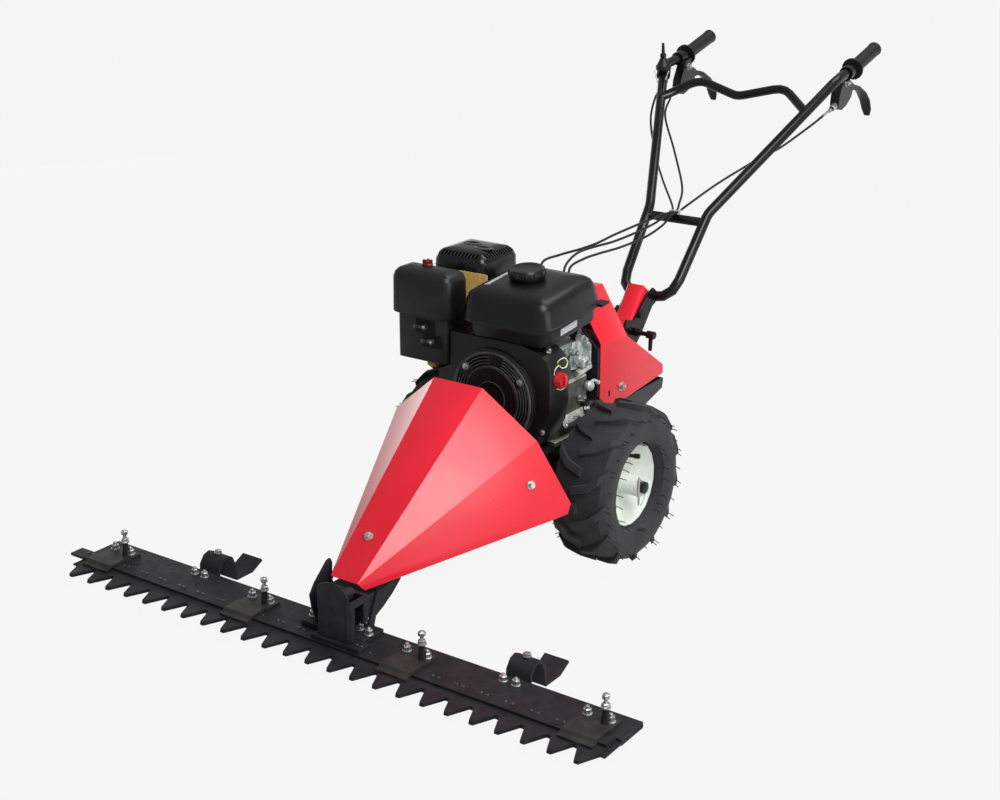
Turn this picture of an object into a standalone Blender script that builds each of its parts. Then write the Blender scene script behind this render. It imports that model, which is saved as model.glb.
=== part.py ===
"""Walk-behind motor mower with a front cutter bar: engine, wheels, handlebar, knife drive and covers.

Metres, Z up, X to the machine's side, the cutter bar towards -Y and the handlebar towards +Y.
The wheels and the two skid shoes stand on Z = 0, and the wheel axle crosses Y = 0.
"""

import math

import bmesh
import bpy
from mathutils import Matrix, Vector

for old in list(bpy.data.objects):
    bpy.data.objects.remove(old, do_unlink=True)

# Driving dimensions
GAP = 0.0003
WHEEL_R = 0.163
TYRE_MID_X = 0.1975
TYRE_HALF = 0.0625
CARCASS_R = 0.1545
LUGS_PER_SIDE = 13
RIM_OUT_X = 0.236
RIM_IN_X = 0.146
RIM_R = 0.085
AXLE_R = 0.012
AXLE_HALF = 0.264
HUB_R = 0.021

BAR_MID_X = -0.008
BAR_REAR_Y = -0.574
TOOTH_ROOT_Y = -0.692
TOOTH_TIP_Y = -0.730
TOOTH_MID_X = -0.0045
TOOTH_PITCH = 0.050
TOOTH_COUNT = 24
BAR_HALF = TOOTH_COUNT * TOOTH_PITCH / 2 + 0.008
TOOTH_ROOT_HALF = 0.021
TOOTH_TIP_HALF = 0.004
BAR_Z = (0.0245, 0.028, 0.033)
STRIP_LOW = 0.0218
KNIFE_Y = (-0.642, -0.672)
KNIFE_Z = (BAR_Z[1] + GAP, 0.0313, 0.036)
STROKE = 0.050
ARM_X = 0.0235
ARM_LENGTH = 0.060
ARM_Y = (-0.654, -0.640)
PIN_R = 0.005
CLAMP_X = [BAR_MID_X + BAR_HALF * share for share in (-0.9046, -0.2993, 0.2993, 0.9046)]
SKID_X = [BAR_MID_X + BAR_HALF * share for share in (-0.5938, 0.5938)]
SKID_WIDTH = 0.050

NOSE_SHEET = 0.0015
REAR_SHEET = 0.002
NOSE_A = (0.056, -0.256, 0.401)
NOSE_B = (0.165, -0.235, 0.313)
NOSE_F = (0.031, -0.600, 0.127)
NOSE_N = (0.0387, -0.5894, 0.113)
NOSE_C = ((0.2123, -0.1891, 0.1835), (0.2119, -0.1983, 0.1642), (0.2011, -0.2231, 0.1601))

ENGINE_Z = 0.2303
CRANK_Z = 0.340
BELT_Y = (0.114, 0.126)
ENGINE_PULLEY_R = 0.028
GEARBOX_PULLEY_R = 0.038
INPUT_Z = 0.196
FRAME_LOW_Z = 0.2223
TANK_TILT = math.radians(5.5)
TANK_PIVOT = Vector((0, -0.051, 0.500))
TANK_FLOOR_Z = 0.4629

LEAN = math.radians(38.1)
COLUMN_TOP = (0.398, 0.447)
COLUMN_HALF = 0.021
COLUMN_DEPTH = 0.030
PIVOT = (0.373, 0.389)
STUD = (0.352, 0.353)
TUBE_R = 0.0115
GRIP_X = 0.218

parts = bpy.data.collections.new("motor_mower")
helpers = bpy.data.collections.new("cutters")
bpy.context.scene.collection.children.link(parts)
bpy.context.scene.collection.children.link(helpers)
helpers.hide_render = True


def linear(channel):
    return channel / 12.92 if channel <= 0.04045 else ((channel + 0.055) / 1.055) ** 2.4


def material(name, code, roughness, metallic):
    made = bpy.data.materials.new(name)
    made.use_nodes = True
    shader = made.node_tree.nodes["Principled BSDF"]
    colour = [linear(int(code[i : i + 2], 16) / 255) for i in (0, 2, 4)]
    shader.inputs["Base Color"].default_value = (*colour, 1)
    shader.inputs["Roughness"].default_value = roughness
    shader.inputs["Metallic"].default_value = metallic
    made.diffuse_color = (*colour, 1)
    return made


RED = material("red_paint", "E8293B", 0.35, 0.0)
BLACK = material("black_paint", "2B2B30", 0.45, 0.0)
SATIN = material("satin_black_steel", "33333A", 0.4, 0.0)
GREY = material("dark_grey_paint", "45474C", 0.5, 0.0)
PLASTIC = material("black_plastic", "222226", 0.4, 0.0)
RUBBER = material("tyre_rubber", "38373B", 0.8, 0.0)
GRIP_RUBBER = material("grip_rubber", "2A2A2C", 0.75, 0.0)
WHITE = material("off_white_paint", "E4EAE2", 0.4, 0.0)
ALUMINIUM = material("cast_aluminium", "A9ABAE", 0.45, 1.0)
ZINC = material("zinc_plate", "C9CCD0", 0.3, 1.0)
STEEL = material("knife_steel", "3A3A3F", 0.4, 1.0)
AMBER = material("amber_plate", "D9A23B", 0.5, 0.0)
SWITCH_RED = material("red_plastic", "D8141E", 0.35, 0.0)
CABLE = material("cable_sheath", "1E1E20", 0.5, 0.0)
BRASS = material("brass_bowl", "8C7A3A", 0.35, 1.0)


def placed(name, mesh, matrix=None):
    made = bpy.data.objects.new(name, mesh)
    helpers.objects.link(made)
    if matrix is not None:
        mesh.transform(matrix)
    return made


def from_bmesh(name, bm):
    bmesh.ops.recalc_face_normals(bm, faces=bm.faces)
    mesh = bpy.data.meshes.new(name)
    bm.to_mesh(mesh)
    bm.free()
    return placed(name, mesh)


def baked(made):
    """The object's mesh with its modifiers applied, welded and facing out, as a fresh object."""
    bpy.context.view_layer.update()
    graph = bpy.context.evaluated_depsgraph_get()
    mesh = bpy.data.meshes.new_from_object(made.evaluated_get(graph))
    mesh.transform(made.matrix_world)
    bm = bmesh.new()
    bm.from_mesh(mesh)
    bmesh.ops.remove_doubles(bm, verts=bm.verts, dist=1e-6)
    name = made.name
    bpy.data.objects.remove(made, do_unlink=True)
    return from_bmesh(name, bm)


def box(name, x, y, z, bevel=0.0, segments=1):
    bm = bmesh.new()
    bmesh.ops.create_cube(bm, size=1)
    middle = Vector(((x[0] + x[1]) / 2, (y[0] + y[1]) / 2, (z[0] + z[1]) / 2))
    size = Vector((abs(x[1] - x[0]), abs(y[1] - y[0]), abs(z[1] - z[0])))
    for vert in bm.verts:
        vert.co = Vector(c * s for c, s in zip(vert.co, size)) + middle
    made = from_bmesh(name, bm)
    if bevel:
        rounding = made.modifiers.new("edges", "BEVEL")
        rounding.width = bevel
        rounding.segments = segments
        rounding.limit_method = "ANGLE"
        made = baked(made)
    return made


def rod(name, start, end, radius, sides=16, end_radius=None):
    start, end = Vector(start), Vector(end)
    bm = bmesh.new()
    bmesh.ops.create_cone(
        bm,
        cap_ends=True,
        segments=sides,
        radius1=radius,
        radius2=radius if end_radius is None else end_radius,
        depth=(end - start).length,
    )
    turn = (end - start).to_track_quat("Z", "Y").to_matrix().to_4x4()
    bmesh.ops.transform(bm, matrix=Matrix.Translation((start + end) / 2) @ turn, verts=bm.verts)
    return from_bmesh(name, bm)


PLANES = {
    "x": Matrix(((0, 0, 1, 0), (1, 0, 0, 0), (0, 1, 0, 0), (0, 0, 0, 1))),
    "y": Matrix(((1, 0, 0, 0), (0, 0, -1, 0), (0, 1, 0, 0), (0, 0, 0, 1))),
    "z": Matrix.Identity(4),
}


def slab(name, outline, axis, ends, holes=()):
    """A flat outline given thickness along an axis: (y, z) outlines for x, (x, z) for y, (x, y) for z."""
    middle = (ends[0] + ends[1]) / 2
    half = abs(ends[1] - ends[0]) / 2
    shift = {"x": (middle, 0, 0), "y": (0, middle, 0), "z": (0, 0, middle)}[axis]
    matrix = Matrix.Translation(shift) @ PLANES[axis]
    if not holes:
        bm = bmesh.new()
        low, high = ([bm.verts.new((u, v, w)) for u, v in outline] for w in (-half, half))
        bm.faces.new(low)
        bm.faces.new(high)
        for i in range(len(low)):
            bm.faces.new((low[i - 1], low[i], high[i], high[i - 1]))
        made = from_bmesh(name, bm)
        made.data.transform(matrix)
        return made
    curve = bpy.data.curves.new(name, "CURVE")
    curve.dimensions = "2D"
    curve.fill_mode = "BOTH"
    curve.extrude = half
    for loop in (outline, *holes):
        spline = curve.splines.new("POLY")
        spline.points.add(len(loop) - 1)
        for point, (u, v) in zip(spline.points, loop):
            point.co = (u, v, 0, 1)
        spline.use_cyclic_u = True
    made = bpy.data.objects.new(name, curve)
    helpers.objects.link(made)
    made.matrix_world = matrix
    return baked(made)


def turned(name, profile, axis, centre, steps=32):
    """A closed (along, radius) profile turned round an axis through centre."""
    mesh = bpy.data.meshes.new(name)
    verts = [(radius, 0, along) for along, radius in profile]
    count = len(verts)
    mesh.from_pydata(verts, [(i, (i + 1) % count) for i in range(count)], [])
    made = placed(name, mesh)
    screw = made.modifiers.new("turn", "SCREW")
    screw.steps = steps
    screw.render_steps = steps
    screw.use_merge_vertices = True
    screw.merge_threshold = 0.00001
    turn = {
        "x": Matrix.Rotation(math.pi / 2, 4, "Y"),
        "y": Matrix.Rotation(-math.pi / 2, 4, "X"),
        "z": Matrix.Identity(4),
    }[axis]
    made.matrix_world = Matrix.Translation(centre) @ turn
    return baked(made)


def rounded(route, radius, steps=3):
    """The route with each inner corner swapped for a short arc."""
    route = [Vector(point) for point in route]
    result = [route[0]]
    for before, corner, after in zip(route, route[1:], route[2:]):
        back = (before - corner).normalized()
        ahead = (after - corner).normalized()
        half = back.angle(ahead) / 2
        bends = max(2, min(steps, round(math.degrees(math.pi - 2 * half) / 12)))
        reach = min(radius / math.tan(half), (before - corner).length * 0.48, (after - corner).length * 0.48)
        start, end = corner + back * reach, corner + ahead * reach
        for i in range(bends + 1):
            t = i / bends
            result.append(start * (1 - t) ** 2 + corner * 2 * t * (1 - t) + end * t**2)
    result.append(route[-1])
    return result


def tube(name, route, radius, sides=12, bend=0.0, steps=3):
    if bend:
        route = rounded(route, bend, steps)
    curve = bpy.data.curves.new(name, "CURVE")
    curve.dimensions = "3D"
    curve.bevel_depth = radius
    curve.bevel_resolution = sides // 2 - 2
    curve.use_fill_caps = True
    spline = curve.splines.new("POLY")
    spline.points.add(len(route) - 1)
    for point, place in zip(spline.points, route):
        point.co = (*place, 1)
    made = bpy.data.objects.new(name, curve)
    helpers.objects.link(made)
    return baked(made)


def cord(name, points, radius, sides=6, steps=5):
    """A smooth cord through hand-chosen points."""
    points = [Vector(point) for point in points]
    ends = [points[0] * 2 - points[1], *points, points[-1] * 2 - points[-2]]
    route = []
    for a, b, c, d in zip(ends, ends[1:], ends[2:], ends[3:]):
        for i in range(steps):
            t = i / steps
            route.append(
                0.5 * (2 * b + (c - a) * t + (2 * a - 5 * b + 4 * c - d) * t**2 + (3 * b - a - 3 * c + d) * t**3)
            )
    route.append(points[-1])
    return tube(name, route, radius, sides)


def combine(base, others, operation):
    for other in others:
        step = base.modifiers.new(operation.lower(), "BOOLEAN")
        step.operation = operation
        step.solver = "EXACT"
        step.object = other
        base = baked(base)
        bpy.data.objects.remove(other, do_unlink=True)
    return base


def join(base, *others):
    return combine(base, others, "UNION")


def cut(base, *others):
    return combine(base, others, "DIFFERENCE")


def sheet(name, verts, faces, thickness):
    """Folded sheet metal: the faces are its outer side and the thickness goes inwards."""
    mesh = bpy.data.meshes.new(name)
    mesh.from_pydata(verts, [], faces)
    made = placed(name, mesh)
    wall = made.modifiers.new("wall", "SOLIDIFY")
    wall.thickness = thickness
    wall.offset = -1
    wall.use_even_offset = True
    return baked(made)


def loft(name, rings):
    """A closed skin through rings of matching points, flat at both ends."""
    bm = bmesh.new()
    rows = [[bm.verts.new(point) for point in ring] for ring in rings]
    for one, two in zip(rows, rows[1:]):
        for i in range(len(one)):
            bm.faces.new((one[i - 1], one[i], two[i], two[i - 1]))
    bm.faces.new(rows[0])
    bm.faces.new(rows[-1])
    return from_bmesh(name, bm)


def domed(name, x, y, radius, levels, steps=3):
    """A housing with rounded corners, drawn in by the given inset at each height."""
    rings = []
    for z, inset in levels:
        r = max(radius - inset, 0.004)
        x0, x1 = x[0] + inset + r, x[1] - inset - r
        y0, y1 = y[0] + inset + r, y[1] - inset - r
        corners = ((x1, y1, 0), (x0, y1, 90), (x0, y0, 180), (x1, y0, 270))
        rings.append([(u, v, z) for cx, cy, start in corners for u, v in arc((cx, cy), r, start, start + 90, steps)])
    return loft(name, rings)


def node(name, made, finish, origin=(0, 0, 0), sharp=35):
    """Turns a worked shape into a named piece whose origin lies on its joint, or at the frame's origin."""
    mesh = made.data.copy()
    bpy.data.objects.remove(made, do_unlink=True)
    mesh.name = name
    mesh.transform(Matrix.Translation(-Vector(origin)))
    mesh.materials.clear()
    mesh.materials.append(finish)
    for face in mesh.polygons:
        face.use_smooth = True
    mesh.set_sharp_from_angle(angle=math.radians(sharp))
    piece = bpy.data.objects.new(name, mesh)
    piece.location = origin
    parts.objects.link(piece)
    return piece


def arc(centre, radius, start, end, steps):
    angles = [math.radians(start + (end - start) * i / steps) for i in range(steps + 1)]
    return [(centre[0] + radius * math.cos(a), centre[1] + radius * math.sin(a)) for a in angles]


def circle(centre, radius, steps):
    return arc(centre, radius, 0, 360, steps)[:-1]


def mirrored(points):
    return [(-point[0], *point[1:]) for point in points]


# Wheels: pinned to one solid axle, so both turn with it
rim_profile = (
    (RIM_OUT_X, RIM_R - 0.0025),
    (RIM_OUT_X - 0.001, RIM_R),
    (RIM_OUT_X - 0.004, RIM_R),
    (RIM_OUT_X - 0.006, RIM_R - 0.0065),
    (0.2150, RIM_R - 0.0170),
    (0.1680, RIM_R - 0.0170),
    (RIM_IN_X + 0.006, RIM_R - 0.0065),
    (RIM_IN_X + 0.004, RIM_R),
    (RIM_IN_X, RIM_R),
    (RIM_IN_X, RIM_R - 0.0050),
    (0.1660, RIM_R - 0.0200),
    (0.2030, RIM_R - 0.0200),
    (0.2030, HUB_R),
    (0.1520, HUB_R),
    (0.1520, AXLE_R + GAP),
    (0.2550, AXLE_R + GAP),
    (0.2550, HUB_R),
    (0.2070, HUB_R),
    (0.2080, RIM_R - 0.0290),
    (0.2160, RIM_R - 0.0180),
)
tyre_profile = (
    (-0.0450, RIM_R - 0.0060),
    (0.0270, RIM_R - 0.0060),
    (0.0315, RIM_R + 0.0010),
    (0.0560, 0.0930),
    (TYRE_HALF, 0.1200),
    (0.0595, 0.1370),
    (0.0500, 0.1480),
    (0.0000, CARCASS_R),
    (-0.0500, 0.1480),
    (-0.0595, 0.1370),
    (-TYRE_HALF, 0.1200),
    (-0.0560, 0.0930),
    (-0.0530, RIM_R + 0.0015),
    (-0.0463, RIM_R + 0.0008),
)


def tyre(name, side):
    """A carcass with two rows of slanted lugs that meet near the middle of the tread."""
    carcass = turned(name, tyre_profile, "x", (0, 0, 0), 28)
    bm = bmesh.new()
    # Each station of a lug: across the tread, sweep in degrees, inner and outer radius
    stations = (
        (-0.006, -3.0, 0.150, WHEEL_R),
        (0.026, 1.0, 0.148, 0.1625),
        (0.048, 8.0, 0.141, 0.1590),
        (0.0605, 14.5, 0.122, 0.1460),
    )
    for row in (1, -1):
        for i in range(LUGS_PER_SIDE):
            base = 360 / LUGS_PER_SIDE * (i + (0.25 if row > 0 else 0.75))
            rings = []
            for across, sweep, inner, outer in stations:
                ring = []
                for radius, half in ((inner, 3.4), (outer, 2.6)):
                    for sense in (-1, 1):
                        angle = math.radians(base + sweep + sense * half)
                        place = (across * row, radius * math.sin(angle), radius * math.cos(angle))
                        ring.append(bm.verts.new(place))
                rings.append((ring[0], ring[1], ring[3], ring[2]))
            for one, two in zip(rings, rings[1:]):
                for k in range(4):
                    bm.faces.new((one[k], one[(k + 1) % 4], two[(k + 1) % 4], two[k]))
            bm.faces.new(rings[0])
            bm.faces.new(rings[-1])
    made = join(carcass, from_bmesh("lugs", bm))
    if side < 0:
        made.data.transform(Matrix.Rotation(math.pi, 4, "Z"))
    made.data.transform(Matrix.Translation((side * TYRE_MID_X, 0, WHEEL_R)))
    return node(name, made, RUBBER, (side * TYRE_MID_X, 0, WHEEL_R))


for side, word in ((1, "right"), (-1, "left")):
    rim_shape = turned("rim", rim_profile, "x", (0, 0, WHEEL_R), 18)
    if side < 0:
        rim_shape.data.transform(Matrix.Rotation(math.pi, 4, "Z"))
    node("rim_" + word, rim_shape, WHITE, (side * RIM_OUT_X, 0, WHEEL_R))
    tyre("tyre_" + word, side)
node("axle", rod("axle", (-AXLE_HALF, 0, WHEEL_R), (AXLE_HALF, 0, WHEEL_R), AXLE_R, 16), SATIN, (0, 0, WHEEL_R))

# Gearbox round the axle, with the tube that carries the knife drive forward
gearbox = box("gearbox", (-0.048, 0.048), (-0.072, 0.096), (0.104, FRAME_LOW_Z - GAP), 0.008)
housing = rod("sleeve", (-0.130, 0, WHEEL_R), (0.130, 0, WHEEL_R), 0.026, 16)
flange_r = (FRAME_LOW_Z - WHEEL_R) * 0.776
flange = rod("flange", (-0.062, 0, WHEEL_R), (0.062, 0, WHEEL_R), flange_r, 16)
bore = rod("bore", (-0.2, 0, WHEEL_R), (0.2, 0, WHEEL_R), AXLE_R + GAP, 16)
node("gearbox", cut(join(gearbox, housing, flange), bore), GREY)

TUBE_START = (-0.0723, 0.150)
TUBE_END = (-0.5557, 0.082)
drive_tube = rod("drive_tube", (0, TUBE_START[0], 0), (0, TUBE_END[0], 0), 0.019, 20)
tube_slope = (TUBE_END[1] - TUBE_START[1]) / (TUBE_END[0] - TUBE_START[0])
for vert in drive_tube.data.vertices:
    vert.co.z += TUBE_START[1] + (vert.co.y - TUBE_START[0]) * tube_slope
top_slope = (NOSE_A[2] - NOSE_F[2]) / (NOSE_A[1] - NOSE_F[1])
tab_y = (-0.541, -0.515)
tab_drop = (NOSE_SHEET + GAP) * math.hypot(1, top_slope)
tab_z = [NOSE_F[2] + (y - NOSE_F[1]) * top_slope - tab_drop for y in tab_y]
post = slab(
    "post",
    ((-0.531, 0.086), (-0.525, 0.086), (-0.525, tab_z[0]), (tab_y[1], tab_z[1] - 0.006), (tab_y[1], tab_z[1]),
     (tab_y[0], tab_z[0]), (tab_y[0], tab_z[0] - 0.006), (-0.531, tab_z[0] - 0.006)),
    "x",
    (-0.014, 0.014),
)
node("drive_tube", join(drive_tube, post), BLACK)

# Frame plate under the engine, with arms that carry the nose cover and an upright for the rear cover
frame_outline = (
    (0.092, 0.098), (0.092, -0.150), (0.072, -0.235), (0.164, -0.246), (0.164, -0.268), (-0.164, -0.268),
    (-0.164, -0.246), (-0.072, -0.235), (-0.092, -0.150), (-0.092, 0.098),
)
frame_z = (FRAME_LOW_Z, ENGINE_Z - GAP)
frame = slab("main_frame", frame_outline, "z", frame_z)
upright = slab(
    "upright",
    ((-0.088, 0.224), (0.088, 0.224), (0.088, 0.395), (0.045, 0.440), (-0.045, 0.440), (-0.088, 0.395)),
    "y",
    (0.092, 0.098),
    [circle((0, CRANK_Z), 0.032, 20)],
)
pieces = [upright]
for side in (1, -1):
    pieces.append(box("lip", (side * 0.086, side * 0.0927), (0.092, 0.112), (0.290, 0.394)))
    b, c, f = (Vector((side * p[0], *p[1:])) for p in (NOSE_B, NOSE_C[0], NOSE_F))
    normal = (b - f).cross(c - f).normalized()
    if normal.x * side < 0:
        normal = -normal
    bolt = Vector((side * 0.169, -0.2601, 0.2338))
    bolt -= normal * (bolt - f).dot(normal)
    along = (b - f).normalized()
    across = normal.cross(along)
    pad = Matrix((along, across, normal)).transposed().to_4x4()
    pad.translation = bolt - normal * (NOSE_SHEET + GAP + 0.002)
    plate = box("pad", (-0.014, 0.014), (-0.014, 0.014), (-0.002, 0.002))
    plate.data.transform(pad)
    pieces.append(plate)
node("main_frame", join(frame, *pieces), BLACK)

# Folded nose cover: top, two upper facets and two side facets that run together at the nose
right = [NOSE_A, NOSE_B, *NOSE_C, NOSE_N, NOSE_F]
count = len(right)
faces = [(0, 6, 1), (1, 6, 5, 4, 3, 2)]
faces += [tuple(i + count for i in reversed(face)) for face in faces]
faces.append((0, count, 6 + count, 6))
node("nose_cover", sheet("nose_cover", right + mirrored(right), faces, NOSE_SHEET), RED)

# Rear cover over the belt, with a hood that slopes to the tail
SHOULDER = ((0.095, 0.100, 0.402), (0.095, 0.205, 0.393))
CROWN = ((0.032, 0.100, 0.500), (0.032, 0.205, 0.495))
TAIL = ((0.083, 0.380, 0.283), (0.083, 0.382, 0.262))
SKIRT = ((0.095, 0.100, 0.286), (0.095, 0.137, 0.257), (0.095, 0.205, 0.257))
right = [*SHOULDER, *CROWN, *TAIL, *SKIRT]
count = len(right)
faces = [(6, 7, 8, 1, 0), (0, 1, 3, 2), (8, 5, 4, 1)]
faces += [tuple(i + count for i in reversed(face)) for face in faces]
faces += [(2, 3, 3 + count, 2 + count), (3, 1, 1 + count, 3 + count), (1, 4, 4 + count, 1 + count)]
faces.append((4, 5, 5 + count, 4 + count))
rear_cover = sheet("rear_cover", right + mirrored(right), faces, REAR_SHEET)


def along_column(height, depth):
    """A (y, z) point on the leaning column: height along it from its top edge, depth behind its front face."""
    y = COLUMN_TOP[0] + height * math.sin(LEAN) + depth * math.cos(LEAN)
    return (y, COLUMN_TOP[1] + height * math.cos(LEAN) - depth * math.sin(LEAN))


opening = slab(
    "opening",
    (along_column(0.02, -0.003), along_column(0.02, COLUMN_DEPTH + 0.003),
     along_column(-0.30, COLUMN_DEPTH + 0.003), along_column(-0.30, -0.003)),
    "x",
    (-COLUMN_HALF - 0.003, COLUMN_HALF + 0.003),
)
node("rear_cover", cut(rear_cover, opening), RED)

# Tray below the rear cover
FLOOR = ((0.0983, 0.140), (0.150, 0.150), (0.310, 0.216), (0.372, 0.232), (0.376, 0.254))
TRAY_HALF = 0.088
right = [(TRAY_HALF, y, z) for y, z in FLOOR] + [(TRAY_HALF, FLOOR[0][0], FLOOR[-1][1])]
count = len(right)
faces = [tuple(range(count))]
faces += [tuple(i + count for i in reversed(face)) for face in faces]
faces += [(i + 1, i, i + count, i + 1 + count) for i in range(len(FLOOR) - 1)]
node("tail_box", sheet("tail_box", right + mirrored(right), faces, 0.003), GREY)

# Handle column: box section standing on the tray floor, leaning back
floor_slope = (FLOOR[2][1] - FLOOR[1][1]) / (FLOOR[2][0] - FLOOR[1][0])
floor_lift = (0.003 + GAP) * math.hypot(1, floor_slope)


def foot(depth):
    """Where the column's face at this depth meets the tray floor."""
    high = along_column(0, depth)
    slope = math.cos(LEAN) / math.sin(LEAN)
    level = FLOOR[1][1] + floor_lift
    y = (level - floor_slope * FLOOR[1][0] - high[1] + slope * high[0]) / (slope - floor_slope)
    return (y, high[1] + slope * (y - high[0]))


column = slab(
    "handle_column",
    (along_column(0, 0), along_column(0, COLUMN_DEPTH), foot(COLUMN_DEPTH), foot(0)),
    "x",
    (-COLUMN_HALF, COLUMN_HALF),
)
rounding = column.modifiers.new("edges", "BEVEL")
rounding.width = 0.003
rounding.segments = 1
rounding.limit_method = "ANGLE"
column = baked(column)
hollow = slab(
    "hollow",
    (along_column(-0.003, 0.003), along_column(-0.003, COLUMN_DEPTH - 0.003),
     along_column(-0.40, COLUMN_DEPTH - 0.003), along_column(-0.40, 0.003)),
    "x",
    (-COLUMN_HALF + 0.003, COLUMN_HALF - 0.003),
)
pivot_hole = rod("hole", (-0.05, *PIVOT), (0.05, *PIVOT), 0.006 + GAP, 16)
stud_hole = rod("hole", (-0.05, *STUD), (0.05, *STUD), 0.005 + GAP, 16)
node("handle_column", cut(column, hollow, pivot_hole, stud_hole), RED)

# Cutter bar: one plate with fixed teeth, and a thicker strip behind the knife
def toothed(rear, root, tip, root_half, tip_half, x0, x1):
    """An outline with teeth along its front edge, the rear corners last."""
    outline = [(x0, root)]
    for i in range(TOOTH_COUNT):
        x = TOOTH_MID_X + (i - (TOOTH_COUNT - 1) / 2) * TOOTH_PITCH
        outline += [(x - root_half, root), (x - tip_half, tip), (x + tip_half, tip), (x + root_half, root)]
    return [*outline, (x1, root), (x1, rear), (x0, rear)]


bar_x = (BAR_MID_X - BAR_HALF, BAR_MID_X + BAR_HALF)
fingers = slab(
    "cutter_bar",
    toothed(BAR_REAR_Y, TOOTH_ROOT_Y, TOOTH_TIP_Y, TOOTH_ROOT_HALF, TOOTH_TIP_HALF, *bar_x),
    "z",
    BAR_Z[:2],
)
strip_x = (bar_x[0] + 0.0005, bar_x[1] - 0.0005)
strip = box("strip", strip_x, (BAR_REAR_Y - 0.0005, KNIFE_Y[0] + 2 * GAP), (STRIP_LOW, BAR_Z[2]))
node("cutter_bar", join(fingers, strip), BLACK)

# Knife: a row of sections under a back strip, with the head that the drive arm moves
knife_half = TOOTH_COUNT * TOOTH_PITCH / 2
sections = slab(
    "knife",
    toothed(KNIFE_Y[0], TOOTH_ROOT_Y + 0.001, TOOTH_TIP_Y + 0.001, TOOTH_ROOT_HALF, TOOTH_TIP_HALF,
            TOOTH_MID_X - knife_half + 0.001, TOOTH_MID_X + knife_half - 0.004),
    "z",
    KNIFE_Z[:2],
)
back_x = (-knife_half - 0.045, knife_half - 0.010)
back = box("back", back_x, (KNIFE_Y[0] - 0.0005, KNIFE_Y[1]), (KNIFE_Z[1] - 0.0005, KNIFE_Z[2]))
head_x = ARM_X - STROKE / 2
head_plate = box("head", (head_x - 0.022, 0.088), (-0.668, -0.639), (KNIFE_Z[2] - 0.001, 0.044), 0.001)
lugs = [
    box("lug", (head_x + side * (PIN_R + 0.0005), head_x + side * 0.0098), ARM_Y, (0.043, 0.060))
    for side in (1, -1)
]
node("knife", join(sections, back, head_plate, *lugs), STEEL)

# Drive arm: swings about a pin along Y and carries the knife head with it
swing = math.asin(STROKE / 2 / ARM_LENGTH)
ARM_PIVOT = (ARM_X, (ARM_Y[0] + ARM_Y[1]) / 2, 0.058 + ARM_LENGTH * math.cos(swing))


def swung(x, down):
    """(x, z) of a point of the arm, which rests turned to the left end of its swing."""
    c, s = math.cos(swing), math.sin(swing)
    return (ARM_X + x * c - down * s, ARM_PIVOT[2] - x * s - down * c)


arm_mid = (ARM_Y[0] + ARM_Y[1]) / 2
hub = rod("drive_arm", (ARM_X, ARM_Y[0], ARM_PIVOT[2]), (ARM_X, ARM_Y[1], ARM_PIVOT[2]), 0.012, 16)
shank = slab(
    "shank",
    [swung(-0.009, 0), swung(0.009, 0), swung(0.0034, ARM_LENGTH), swung(-0.0034, ARM_LENGTH)],
    "y",
    (ARM_Y[0] + 0.002, ARM_Y[1] - 0.002),
)
pin_x, pin_z = swung(0, ARM_LENGTH)
pin = rod("pin", (pin_x, ARM_Y[0] + 0.001, pin_z), (pin_x, ARM_Y[1] - 0.001, pin_z), PIN_R, 16)
bore = rod("bore", (ARM_X, -0.7, ARM_PIVOT[2]), (ARM_X, -0.6, ARM_PIVOT[2]), 0.006 + GAP, 16)
node("drive_arm", cut(join(hub, shank, pin), bore), STEEL, ARM_PIVOT)

# Eccentric box behind the arm, with its front flange, boss and the stub that the arm swings on
BOX_HALF = 0.0465
case = box("eccentric_box", (-BOX_HALF, BOX_HALF), (-0.612, -0.556), (0.0603, 0.104), 0.003)
front = box("front", (ARM_X - 0.034, ARM_X + 0.034), (-0.616, -0.603), (0.062, 0.118), 0.002)
boss = rod("boss", (ARM_X, -0.610, ARM_PIVOT[2]), (ARM_X, ARM_Y[1] + GAP, ARM_PIVOT[2]), 0.012, 20)
stub = rod("stub", (ARM_X, -0.630, ARM_PIVOT[2]), (ARM_X, ARM_Y[0] - 0.002, ARM_PIVOT[2]), 0.006, 16)
node("eccentric_box", join(case, front, boss, stub), BLACK)

# Head that ties the bar to the eccentric box: a base plate, a finned cheek on the left, a plain one on the right
base_z = (BAR_Z[2] + GAP, 0.044)
base = box("cutter_head", (-0.072, 0.072), (-0.638, -0.580), base_z, 0.001)
riser = box("riser", (-0.040, 0.024), (-0.606, -0.584), (0.043, 0.060))
left_cheek = slab(
    "left",
    ((-0.577, 0.043), (-0.568, 0.085), (-0.578, 0.108), (-0.576, 0.140), (-0.580, 0.149), (-0.588, 0.147),
     (-0.622, 0.117), (-0.636, 0.098), (-0.632, 0.073), (-0.620, 0.043)),
    "x",
    (-BOX_HALF - GAP - 0.005, -BOX_HALF - GAP),
)
right_cheek = slab(
    "right",
    ((-0.582, 0.043), (-0.576, 0.062), (-0.553, 0.073), (-0.528, 0.088), (-0.503, 0.108), (-0.520, 0.112),
     (-0.571, 0.107), (-0.591, 0.062), (-0.602, 0.043)),
    "x",
    (BOX_HALF + GAP, BOX_HALF + GAP + 0.005),
)
node("cutter_head", join(base, riser, left_cheek, right_cheek), BLACK)

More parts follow.
